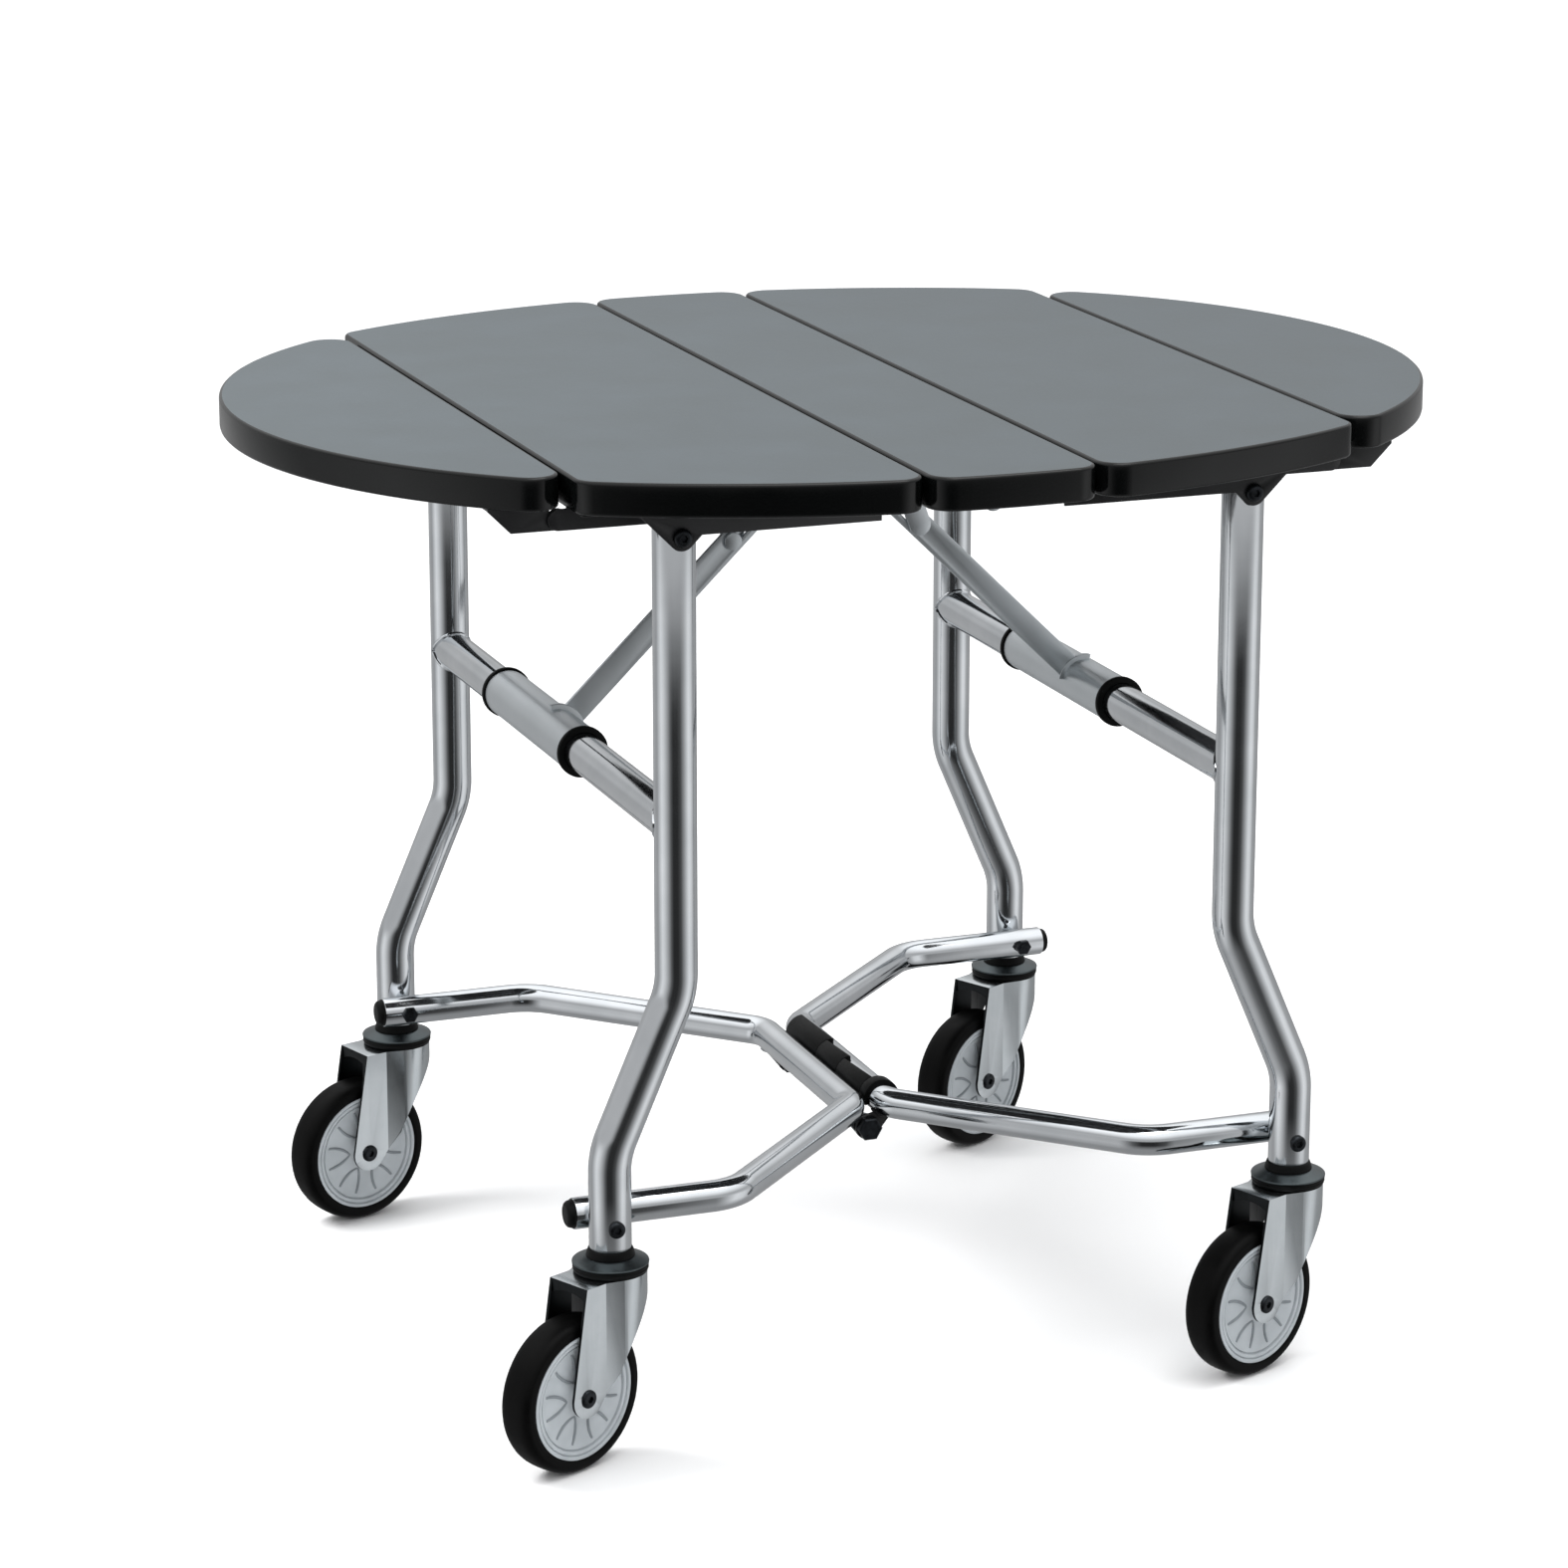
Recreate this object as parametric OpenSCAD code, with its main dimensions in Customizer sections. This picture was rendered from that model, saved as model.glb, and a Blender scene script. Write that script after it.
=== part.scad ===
// Folding room service table: an oval five-board top on two joggled tube leg frames with casters.
// +Z is up, +X runs across the boards' seams, and the origin is on the floor below the top's centre.

/* [Top] */
// Height of the top above the floor
table_h = 750; // [720:1:790]
// Length of the open top, across the seams
top_len = 950; // [920:1:1000]
// Width of the top, along the seams
top_w = 790; // [770:1:830]
// How much smaller the end arcs' radius is than half the width
arc_step = 23; // [16:1:40]
// Thickness of the boards
board_t = 25; // [20:1:28]
// Distance from the table's centre line to the seams of the centre board
seam_in = 66; // [62:1:70]
// Distance from the table's centre line to the seams of the end leaves
seam_out = 306; // [298:1:312]
// Gap between neighbouring boards
seam_gap = 1.6; // [1:0.1:4]
// Plan radius of the boards' corners at the seams
corner_r = 20; // [12:1:24]
// Thickness of the edge band round each board
band_t = 1.2; // [0.8:0.1:3]

/* [Legs] */
// Outside diameter of the leg tube
leg_d = 32; // [28:1:34]
// Wall of every bent tube
tube_wall = 1.5; // [1:0.1:2.5]
// Distance of the legs' upper runs from the centre line, along X
leg_x = 225; // [220:1:230]
// Distance of the legs' lower runs from the centre line, along X
foot_x = 278; // [270:1:285]
// How far the legs stand in from the top's sides
leg_inset = 107; // [103:1:111]
// Height of the joggle's upper bend
joggle_top = 358; // [340:1:380]
// Height of the joggle's lower bend
joggle_low = 236; // [225:1:250]
// Centre line radius of the joggle's bends
joggle_r = 65; // [50:1:75]
// Height of the leg tube's lower end
leg_low = 163.5; // [161:0.5:166]
// Height of a leg tube's end above its pivot bolt
leg_over = 12; // [10:0.5:13]

/* [Hinges and rails] */
// Depth of the centre hinge axes below the boards
hinge_drop = 41; // [38:0.5:44]
// Depth of the leg pivot bolts below the boards
pivot_drop = 23; // [21:0.5:24]
// Depth of the leaf hinge axes below the boards
leaf_drop = 11.5; // [10.5:0.5:13]
// Radius of every pivot bolt
bolt_r = 4; // [3:0.5:5]
// Radial clearance of a turning fit
run_fit = 0.06; // [0.03:0.01:0.1]
// Gap between parts that pass each other
side_gap = 0.5; // [0.3:0.1:0.8]
// Thickness of the pressed steel in rails and brackets
sheet = 2.5; // [2:0.1:3]
// Distance of the centre hinges from the legs, along Y
hinge_inset = 108; // [98:1:140]
// Radius of the hinge lugs' ends
lug_r = 9; // [7:0.5:10]

/* [Crossbars and stays] */
// Diameter of the crossbar between two legs
bar_d = 30; // [26:1:31]
// Height of the crossbars
bar_z = 484; // [470:1:495]
// Outside diameter of the stay's sleeve
sleeve_d = 38; // [36:1:40]
// Front end of the sleeve, along Y
sleeve_front = -66; // [-80:1:-50]
// Back end of the sleeve, along Y
sleeve_back = 126; // [110:1:140]
// Diameter of the stop rings
ring_d = 41; // [39:1:44]
// Width of the stop rings
ring_w = 5; // [4:0.5:7]
// Width of the stay strap
strap_w = 20; // [18:1:24]
// Thickness of the stay strap
strap_t = 3.5; // [3:0.5:5]
// Place of the stay's stud on its circle, from straight up
stud_angle = 5; // [3:0.5:7]

/* [Lower frames] */
// Outside diameter of the lower frame's tube
low_d = 24; // [20:1:25]
// Height of the lower frames
low_z = 182; // [181:0.5:184]
// Distance of the frame's centre run from the centre line, along X
low_in_x = 15; // [15:0.5:17]
// Distance from the centre line to the start of the end runs, along X
low_out_x = 170; // [150:1:190]
// Half length of the centre run between its bends, along Y
low_run = 102.5; // [96:0.5:110]
// Depth of the centre pivot below the frames
centre_drop = 20; // [20:0.5:21]
// Radius of the centre pivot rod
rod_r = 6; // [5:0.5:6.5]
// Length of tube past the foot bolt
low_over = 20; // [18:1:21]
// Length of the plug past the tube's end
plug_over = 6; // [4:1:7]

/* [Casters] */
// Radius of the wheel
wheel_r = 60; // [55:1:62]
// Width of the tyre
tyre_w = 30; // [26:1:31]
// Radius of the hub inside the tyre
hub_r = 48.5; // [44:0.5:50]
// Distance of the axle behind the swivel axis
trail = 42.6; // [38:0.2:46]
// Half the distance over the fork's cheeks
cheek_y = 20; // [19:0.5:22]
// Radius of the fork's wrapped front
fork_r = 27.5; // [26:0.5:29]
// Thickness of the fork's steel
fork_t = 2.5; // [2:0.1:3]
// Height of the fork's crown
crown_z = 146; // [143:0.5:147]
// Radius of the dust cap
cap_r = 29; // [27:0.5:30]
// Turn of the front left caster
turn_fl = 25.8; // [-180:0.1:180]
// Turn of the front right caster
turn_fr = 22.4; // [-180:0.1:180]
// Turn of the back left caster
turn_bl = 17.8; // [-180:0.1:180]
// Turn of the back right caster
turn_br = 27; // [-180:0.1:180]

/* [Hidden] */

$fn = 48;
plan_fn = 360;          // segments of the top's large arcs
left = -1;
right = 1;
front = -1;
back = 1;
laminate = "#83898d";
black = "#141517";
silver = "#b9bec2";
chrome = "#c9ced1";
zinc = "#a9adb0";
hub_grey = "#c3c8cc";

// The top's outline: two end arcs on the X axis and two side arcs, tangent to each other
half_len = top_len / 2;
half_w = top_w / 2;
end_r = half_w - arc_step;
end_x = half_len - end_r;
side_r = (end_x * end_x + half_w * half_w - end_r * end_r) / (2 * arc_step);
side_y = side_r - half_w;
hair = 0.01;                                    // step that keeps curves which would coincide apart
leg_y = half_w - leg_inset;
hinge_y = leg_y - hinge_inset;
end_c = [end_x, 0];
side_c = [0, -side_y];
meet = end_c + end_r * (end_c - side_c) / norm(end_c - side_c);     // where the arcs meet

// Heights that follow from the top
under_z = table_h - board_t;
hinge_z = under_z - hinge_drop;
pivot_z = under_z - pivot_drop;
leaf_z = under_z - leaf_drop;
flange_z = under_z - sheet;

// Bent tubes
bend_proud = 0.06;                              // how far a bend stands proud of its straight runs
bend_in = 0.5;                                  // how far a straight run goes into a bend

// Centre hinges
hinge_flange = [24, 20];                        // length and width of a hinge's flange
hinge_back = 8;                                 // from the hinge axis to its flanges
wing_lug_t = 5;

// Rails
leg_r = leg_d / 2;
rail_gap = 1;                                   // between a leg and the rail's webs
web_in = leg_y - leg_r - rail_gap;              // facing sides of the two webs
web_out = leg_y + leg_r + rail_gap;
web_low = 19.5;                                 // depth of the outer web below the flange
web_short = 17;                                 // depth of the inner web below the flange
gusset_r = 10;                                  // round end of a web at the leg bolt
rail_start = seam_in + 6;                       // the rail stops short of both seams
rail_end = seam_out - 6;
knuckle_back = 10;                              // length of the inner web's step at the leaf hinge
knuckle_r = 8;
rivet_r = 3;
rivet_t = 1.5;
arm_gap = 0.3;
arm_reach = 52;                                 // from the leaf's hinge axis to the arm's end
arm_cut = 17;                                   // length of the sloping cut at the arm's end
arm_start = 6;                                  // from the leaf's hinge axis to the arm's upper edge
arm_flange = 18;                                // width of the arm's flange
head_r = 7;
head_t = 4;

// Stays: the stud and the crossbar lie on one circle round a point below the hinge axis,
// so a straight strap turns at half the rate of the fold
stud_x = seam_in + norm([leg_x - seam_in, pivot_z - hinge_z]) * sin(stud_angle);
stud_z = bar_z - (pivot_z - hinge_z) + norm([leg_x - seam_in, pivot_z - hinge_z]) * cos(stud_angle);
stay_angle = atan2(stud_z - bar_z, leg_x - stud_x);
slot_near = norm([leg_x - stud_x, stud_z - bar_z]);
fold_max = 85;
circle_r = norm([leg_x - seam_in, pivot_z - hinge_z]);
slot_far = 2 * circle_r * sin(asin(slot_near / (2 * circle_r)) + fold_max / 2);
slot_gap = 0.35;
sleeve_gap = 0.3;                               // between the crossbar and the sleeve's bore
plate_t = 3;
plate_deep = 32;                                // height of the guide plate below its flange
plate_flange = 30;
strap_y = plate_t / 2 + side_gap;               // inner face of each strap

// Lower frames
low_r = low_d / 2;
foot_gap = 1;                                   // the washer between a leg and the lower frame
low_y = leg_y - leg_r - foot_gap - low_r;
rod_z = low_z - centre_drop;
lug_t = 3;
pivot_play = 2.6;                               // travel of the rod in the left frame's lugs
lug_gap = 0.2;
centre_lug_r = norm([low_in_x, centre_drop]) - low_r - pivot_play - lug_gap;
lug_front_y = -99;
lug_back_y = 80;

// Casters
seal_top = crown_z + 6.2;
collar_h = 6;
axle_r = 5;
cheek_r = 15;
lip_x = -43;
lip_h = 13;
boss_r = 12;
boss_half = 16.5;
rim_w = 3;
rim_step = 1;                                   // from the rim's outer ring down to its inner one
web_half = 11.5;
rib_half = 12.7;
rib_n = 10;
rib_t = 1.6;
rib_bow = 28;                                   // radius of a hub rib's curve
fold_x = -24;                                   // the cheeks' vertical fold, behind the swivel axis
stem_r = 6;

function unit(v) = v / norm(v);
function bend_cut(a, b, c, r) = r * tan(turn_of(a, b, c) / 2);
function turn_of(a, b, c) = acos(max(-1, min(1, unit(b - a) * unit(c - b))));
function heading(a, b) = atan2(b[1] - a[1], b[0] - a[0]);
function across(a, b, c) = (b - a)[0] * (c - b)[1] - (b - a)[1] * (c - b)[0];

// Places a module on the left by mirroring the right one
module on_side(side) {
    mirror([side == left ? 1 : 0, 0, 0]) children();
}

// Places a module at the front by mirroring the back one
module on_end(end) {
    mirror([0, end == front ? 1 : 0, 0]) children();
}

// A plate whose outline lies in the XZ plane, from y0 to y0 + t
module upright(y0, t) {
    translate([0, y0 + t, 0]) rotate([90, 0, 0]) linear_extrude(t) children();
}

// A rod along Y
module rod_y(x, z, y0, y1, r) {
    translate([x, y0, z]) rotate([-90, 0, 0]) cylinder(h = y1 - y0, r = r);
}

// A hexagonal head along Y
module hex_y(x, z, y0, y1, r) {
    translate([x, y0, z]) rotate([-90, 0, 0]) cylinder(h = y1 - y0, r = r, $fn = 6);
}

// A round bar along a path in the XY plane, with the bends' radii at the path's inner points.
// The bends stand a hair proud, and each straight run ends inside its bends.
module bent_bar(path, radii, r) {
    last = len(path) - 1;
    function cut(i) = i <= 0 || i >= last ? 0
        : bend_cut(path[i - 1], path[i], path[i + 1], radii[i - 1]) - bend_in;
    for (i = [0 : last - 1]) {
        run = norm(path[i + 1] - path[i]) - cut(i) - cut(i + 1);
        translate(path[i] + unit(path[i + 1] - path[i]) * cut(i))
            rotate([0, 0, heading(path[i], path[i + 1])])
            rotate([0, 90, 0]) cylinder(h = run, r = r);
    }
    for (i = [1 : last - 1]) {
        turn = turn_of(path[i - 1], path[i], path[i + 1]);
        leftward = across(path[i - 1], path[i], path[i + 1]) > 0;
        start = path[i] - unit(path[i] - path[i - 1]) * (cut(i) + bend_in);
        translate(start) rotate([0, 0, heading(path[i - 1], path[i])])
            translate([0, (leftward ? 1 : -1) * radii[i - 1], 0]) rotate([0, 0, leftward ? -90 : 90 - turn])
            rotate_extrude(angle = turn, $fn = 96) translate([radii[i - 1], 0]) circle(r + bend_proud);
    }
}

// The same path with both ends run on, so that a bore goes right through
function longer(path) = [for (i = [0 : len(path) - 1])
    i == 0 ? path[0] + unit(path[0] - path[1])
    : i == len(path) - 1 ? path[i] + unit(path[i] - path[i - 1])
    : path[i]];

// A hollow bent tube, open at both ends
module bent_tube(path, radii, r) {
    difference() {
        bent_bar(path, radii, r);
        bent_bar(longer(path), radii, r - tube_wall);
    }
}

// A strip of the oval between two seam lines, drawn in by a margin.
// Where it reaches an end arc, the side arcs stay a hair inside and stop inside the arc's circle.
module strip_plan(x0, x1, margin) {
    ends = x1 > meet[0];
    r = side_r - margin - (ends ? hair : 0);
    end_start = max(x0 + margin, meet[0]);
    if (x0 < meet[0]) intersection() {
        translate([x0 + margin, -half_w]) square([(ends ? meet[0] + 1 : x1 - margin) - x0 - margin, top_w]);
        translate(side_c) circle(r, $fn = plan_fn);
        translate(-side_c) circle(r, $fn = plan_fn);
    }
    if (ends) intersection() {
        translate([end_start, -half_w]) square([x1 - margin - end_start, top_w]);
        translate(end_c) circle(end_r - margin, $fn = plan_fn);
    }
}

// Centre of a corner's fillet on an arc: dir is +1 where the board lies on the seam's +X side
function fillet_at(seam, dir, c, r) =
    [seam + dir * corner_r, c[1] + sqrt(pow(r - corner_r, 2) - pow(seam + dir * corner_r - c[0], 2))];

// True where the fillet touches an end arc, and not a side arc
function on_end_arc(seam, dir) =
    seam + dir * corner_r < end_x + end_r - corner_r
    && end_x + end_r * unit(fillet_at(seam, dir, end_c, end_r) - end_c)[0] > meet[0];

// What the fillet takes off a board's corner
module corner_chip(seam, dir, margin) {
    c = on_end_arc(seam, dir) ? end_c : side_c;
    r = on_end_arc(seam, dir) ? end_r : side_r;
    f = fillet_at(seam, dir, c, r);
    out = unit(f - c) * end_r;
    difference() {
        polygon([[seam - dir, f[1]], f, f + out, [seam - dir, f[1] + out[1]]]);
        translate(f) circle(corner_r - margin + hair, $fn = 96);
    }
}

// One board's outline between two seams, drawn in by a margin
module board_plan(x0, x1, margin) {
    difference() {
        strip_plan(x0, x1, margin);
        for (m = [0, 1]) mirror([0, m]) {
            corner_chip(x0, 1, margin);
            if (x1 < half_len) corner_chip(x1, -1, margin);
        }
    }
}

module board(x0, x1) {
    translate([0, 0, under_z]) linear_extrude(board_t) board_plan(x0, x1, band_t);
}

module edge_band(x0, x1) {
    translate([0, 0, under_z]) linear_extrude(board_t) difference() {
        board_plan(x0, x1, 0);
        board_plan(x0, x1, band_t);
    }
}

centre_span = [-seam_in + seam_gap / 2, seam_in - seam_gap / 2];
wing_span = [seam_in + seam_gap / 2, seam_out - seam_gap / 2];
leaf_span = [seam_out + seam_gap / 2, half_len + board_t];

module centre_board() {
    color(laminate) board(centre_span[0], centre_span[1]);
}

module centre_edge() {
    color(black) edge_band(centre_span[0], centre_span[1]);
}

module wing_board(side) {
    color(laminate) on_side(side) board(wing_span[0], wing_span[1]);
}

module wing_edge(side) {
    color(black) on_side(side) edge_band(wing_span[0], wing_span[1]);
}

module leaf_board(side) {
    color(laminate) on_side(side) board(leaf_span[0], leaf_span[1]);
}

module leaf_edge(side) {
    color(black) on_side(side) edge_band(leaf_span[0], leaf_span[1]);
}

// Upright plate with an arm to each stud, hung from a flange under the centre board
module guide_plate() {
    flange_x = seam_in - lug_r + 1;
    arm_top = [flange_x - lug_r + 1, flange_z - plate_deep / 2];
    color(silver) {
        upright(-plate_t / 2, plate_t) for (m = [0, 1]) mirror([m, 0]) {
            translate([0, flange_z - plate_deep]) square([flange_x, plate_deep]);
            translate([stud_x, stud_z]) circle(lug_r);
            arm_plan(arm_top, [stud_x, stud_z], lug_r);
        }
        translate([-flange_x, -plate_flange / 2, flange_z]) cube([2 * flange_x, plate_flange, sheet]);
        for (side = [left, right]) on_side(side) mirror([0, side == left ? 1 : 0, 0]) {
            rod_y(stud_x, stud_z, 0, strap_y + strap_t + side_gap, bolt_r);
            rod_y(stud_x, stud_z, strap_y + strap_t + side_gap, strap_y + strap_t + side_gap + sheet, head_r);
        }
    }
}

// A straight arm of half width r between two points
module arm_plan(a, b, r) {
    translate(a) rotate(heading(a, b)) translate([0, -r]) square([norm(b - a), 2 * r]);
}

// A lug that hangs from x0..x1 on a flange and ends round a hinge axis
module lug_plan(x0, x1, axis, r) {
    high = flange_z + sheet / 2;
    polygon([[x0, high], [x1, high], axis + [r, 0], axis - [0, r / 2], axis - [r, 0]]);
    translate(axis) circle(r);
}

// Two lugs on each side of a wing's lug, with the hinge pin riveted through them
module centre_hinges() {
    x0 = seam_in - hinge_back - hinge_flange[0];
    x1 = seam_in - hinge_back;
    half = hinge_flange[1] / 2;
    lug_y = wing_lug_t / 2 + side_gap;
    rod_half = lug_y + lug_t + rivet_t;
    color(zinc) for (side = [left, right], end = [front, back]) on_side(side) on_end(end)
        translate([0, hinge_y, 0]) {
            translate([x0, -half, flange_z]) cube([x1 - x0, 2 * half, sheet]);
            for (m = [0, 1]) mirror([0, m, 0])
                upright(lug_y, lug_t) lug_plan(x0, x1, [seam_in, hinge_z], lug_r);
            rod_y(seam_in, hinge_z, -rod_half, rod_half, bolt_r);
        }
}

module wing_lugs(side) {
    x0 = seam_in + hinge_back;
    x1 = x0 + hinge_flange[0];
    half = hinge_flange[1] / 2;
    color(zinc) for (end = [front, back]) on_side(side) on_end(end) translate([0, hinge_y, 0]) difference() {
        union() {
            translate([x0, -half, flange_z]) cube([x1 - x0, 2 * half, sheet]);
            upright(-wing_lug_t / 2, wing_lug_t) lug_plan(x0, x1, [seam_in, hinge_z], lug_r);
        }
        rod_y(seam_in, hinge_z, -half, half, bolt_r + run_fit);
    }
}

// The rail's outer web: straight, with a gusset down to the leg bolt
module outer_web() {
    low = flange_z - web_low;
    slope = leg_x + gusset_r * sqrt(2) + flange_z - pivot_z;
    translate([rail_start, low]) square([leg_x - rail_start, web_low + sheet / 2]);
    polygon([[leg_x, flange_z + sheet / 2], [slope, flange_z + sheet / 2], [slope, flange_z],
        [leg_x + gusset_r * sqrt(0.5), pivot_z - gusset_r * sqrt(0.5)],
        [leg_x, pivot_z], [leg_x - gusset_r * sqrt(0.5), pivot_z - gusset_r * sqrt(0.5)],
        [leg_x - gusset_r * sqrt(2) - (low - pivot_z), low]]);
    translate([leg_x, pivot_z]) circle(gusset_r);
}

// The rail's inner web: it runs on to the leaf's hinge
module inner_web() {
    low = flange_z - web_short;
    translate([rail_start, low]) square([rail_end - rail_start, web_short + sheet / 2]);
    translate([leg_x, pivot_z]) circle(gusset_r);
    translate([rail_end - knuckle_back, leaf_z - knuckle_r])
        square([seam_out - rail_end + knuckle_back, 2 * knuckle_r]);
    translate([seam_out, leaf_z]) circle(knuckle_r);
}

// The rail's two webs and its flange, with the leg bolt's holes and the leaf hinge's rivet
module rail(side, end) {
    rivet_in = web_in - 2 * (sheet + arm_gap);
    color(black) on_side(side) on_end(end) {
        difference() {
            union() {
                translate([rail_start, web_in - sheet, flange_z])
                    cube([rail_end - rail_start, web_out - web_in + 2 * sheet, sheet]);
                upright(web_out, sheet) outer_web();
                upright(web_in - sheet, sheet) inner_web();
            }
            rod_y(leg_x, pivot_z, web_in - 2 * sheet, web_out + 2 * sheet, bolt_r);
        }
        rod_y(seam_out, leaf_z, rivet_in - rivet_t, web_in - sheet / 2, rivet_r);
        rod_y(seam_out, leaf_z, rivet_in - rivet_t, rivet_in, rivet_r + 2);
    }
}

module leaf_arms(side) {
    arm_y = web_in - 2 * sheet - arm_gap;
    color(black) for (end = [front, back]) on_side(side) on_end(end) difference() {
        union() {
            upright(arm_y, sheet) {
                translate([seam_out, leaf_z]) circle(knuckle_r);
                polygon([[seam_out, leaf_z - knuckle_r], [seam_out + arm_reach - arm_cut, leaf_z - knuckle_r],
                    [seam_out + arm_reach, flange_z], [seam_out + arm_reach, under_z],
                    [seam_out + arm_start, under_z], [seam_out + arm_start, leaf_z + knuckle_r / 2],
                    [seam_out, leaf_z + knuckle_r]]);
            }
            translate([seam_out + arm_start + 4, arm_y - arm_flange, flange_z])
                cube([arm_reach - arm_start - 4, arm_flange + sheet, sheet]);
        }
        rod_y(seam_out, leaf_z, arm_y - sheet, arm_y + 2 * sheet, rivet_r + run_fit);
    }
}

module leg_bolts(side) {
    color(black) for (end = [front, back]) on_side(side) on_end(end) {
        rod_y(leg_x, pivot_z, web_in - sheet - head_t, web_out + sheet + head_t, bolt_r);
        hex_y(leg_x, pivot_z, web_in - sheet - head_t, web_in - sheet, head_r);
        rod_y(leg_x, pivot_z, web_out + sheet, web_out + sheet + head_t, head_r);
    }
}

module leg(side, end) {
    path = [[leg_x, pivot_z + leg_over], [leg_x, joggle_top], [foot_x, joggle_low], [foot_x, leg_low]];
    color(chrome) on_side(side) on_end(end) difference() {
        translate([0, leg_y, 0]) rotate([90, 0, 0]) bent_tube(path, [joggle_r, joggle_r], leg_r);
        rod_y(leg_x, pivot_z, leg_y - leg_d, leg_y + leg_d, bolt_r + run_fit);
        rod_y(foot_x, low_z, leg_y - leg_d, leg_y + leg_d, bolt_r);
    }
}

module crossbar(side) {
    color(chrome) on_side(side) difference() {
        rod_y(leg_x, bar_z, -leg_y, leg_y, bar_d / 2);
        rod_y(leg_x, bar_z, -leg_y, leg_y, bar_d / 2 - tube_wall);
        for (end = [front, back]) translate([leg_x, end * leg_y, bar_z - leg_d])
            cylinder(h = 2 * leg_d, r = leg_r);
    }
}

// The two rings that keep a stay's sleeve in its place on the crossbar
module stop_rings(side) {
    gap = 0.3;
    color(black) on_side(side) for (y = [sleeve_front - gap - ring_w, sleeve_back + gap]) difference() {
        rod_y(leg_x, bar_z, y, y + ring_w, ring_d / 2);
        rod_y(leg_x, bar_z, y - 1, y + ring_w + 1, bar_d / 2);
    }
}

// The saddle that ties the strap to the sleeve: a fan round the crossbar's axis
module saddle_plan() {
    fan = 2 * sleeve_d;
    intersection() {
        circle(sleeve_d / 2 + strap_t);
        polygon([[0, 0], fan * [cos(-35), sin(-35)], fan * [1.2, 0], fan * [cos(60), sin(60)]]);
    }
}

// Sleeve and slotted strap in one welded piece
module stay(side) {
    strap_end = strap_w / 2;
    slot_r = bolt_r + slot_gap;
    hub = sleeve_d / 2 - 4;
    color(silver) on_side(side) difference() {
        union() {
            rod_y(leg_x, bar_z, sleeve_front, sleeve_back, sleeve_d / 2);
            mirror([0, side == left ? 1 : 0, 0]) translate([leg_x, 0, bar_z]) mirror([1, 0, 0])
                upright(strap_y, strap_t) rotate(stay_angle) difference() {
                    union() {
                        translate([hub, -strap_w / 2]) square([slot_far - hub, strap_w]);
                        translate([slot_far, 0]) circle(strap_end);
                        saddle_plan();
                    }
                    translate([slot_near, -slot_r]) square([slot_far - slot_near, 2 * slot_r]);
                    for (d = [slot_near, slot_far]) translate([d, 0]) circle(slot_r);
                }
        }
        rod_y(leg_x, bar_z, -leg_y, leg_y, bar_d / 2 + sleeve_gap);
    }
}

// Black collar at a leg's end, and the swivel's seal below the dust cap
module collars(side) {
    hug = 0.2;
    seal_r = cap_r - 0.3;
    seal_low = crown_z + 0.3;
    seal_cut = 1.2;
    color(black) for (end = [front, back]) translate([side * foot_x, end * leg_y, 0]) {
        rotate_extrude($fn = 64) polygon([[stem_r + hug, leg_low - collar_h], [leg_r + 2, leg_low - collar_h],
            [leg_r + 0.6, leg_low], [stem_r + hug, leg_low]]);
        rotate_extrude($fn = 64) polygon([[stem_r + hug, seal_low], [seal_r - seal_cut, seal_low],
            [seal_r, seal_low + seal_cut], [seal_r, seal_top - hug], [stem_r + hug, seal_top - hug]]);
    }
}

// Swivel pin, riveted under the fork's crown, with the domed dust cap
module stems(side) {
    plug_top = low_z - bolt_r - 3;
    cap_top = leg_low - collar_h;
    rim = 1.2;
    flange_r = stem_r + 3;
    rivet_low = crown_z - fork_t - head_t;
    color(zinc) for (end = [front, back]) translate([side * foot_x, end * leg_y, 0]) {
        rotate_extrude($fn = 64) {
            translate([0, rivet_low]) square([flange_r, head_t - 0.3]);
            translate([0, rivet_low]) square([stem_r, plug_top - rivet_low]);
            translate([0, leg_low]) square([leg_r - tube_wall - 0.1, plug_top - leg_low]);
            polygon([[0, seal_top], [cap_r, seal_top], [cap_r, seal_top + rim], [cap_r - 3, seal_top + 3],
                [leg_r + 3, cap_top], [0, cap_top]]);
        }
    }
}

// Foot bolt through a leg and the lower frame, with its nut inside and a washer between the tubes
module foot_bolts(side) {
    out = leg_y + leg_r;
    nut_y = low_y - low_r - 0.3;
    button_t = 3;
    color(black) for (end = [front, back]) on_side(side) on_end(end) {
        rod_y(foot_x, low_z, nut_y - head_t, out + button_t, bolt_r);
        hex_y(foot_x, low_z, nut_y - head_t, nut_y, head_r);
        rod_y(foot_x, low_z, low_y + low_r + 0.2, leg_y - leg_r, head_r + 1);
        rod_y(foot_x, low_z, out, out + button_t, head_r - 0.5);
    }
}

low_path = [[foot_x + low_over, low_y], [low_out_x, low_y], [low_in_x, low_run], [low_in_x, -low_run],
    [low_out_x, -low_y], [foot_x + low_over, -low_y]];
low_bends = [45, 26, 26, 45];

// A lug welded under the centre run, with its eye round the centre pivot
module centre_lug(y, eye_r) {
    upright(y, lug_t) difference() {
        union() {
            translate([0, rod_z]) circle(centre_lug_r);
            polygon([[0, rod_z - centre_lug_r * 0.7], [low_in_x + low_r * 0.85, low_z - low_r * 0.3],
                [low_in_x, low_z], [low_in_x - low_r * 0.5, low_z - low_r * 0.6],
                [0, rod_z + centre_lug_r * 0.6]]);
        }
        translate([0, rod_z]) circle(eye_r);
    }
}

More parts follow.
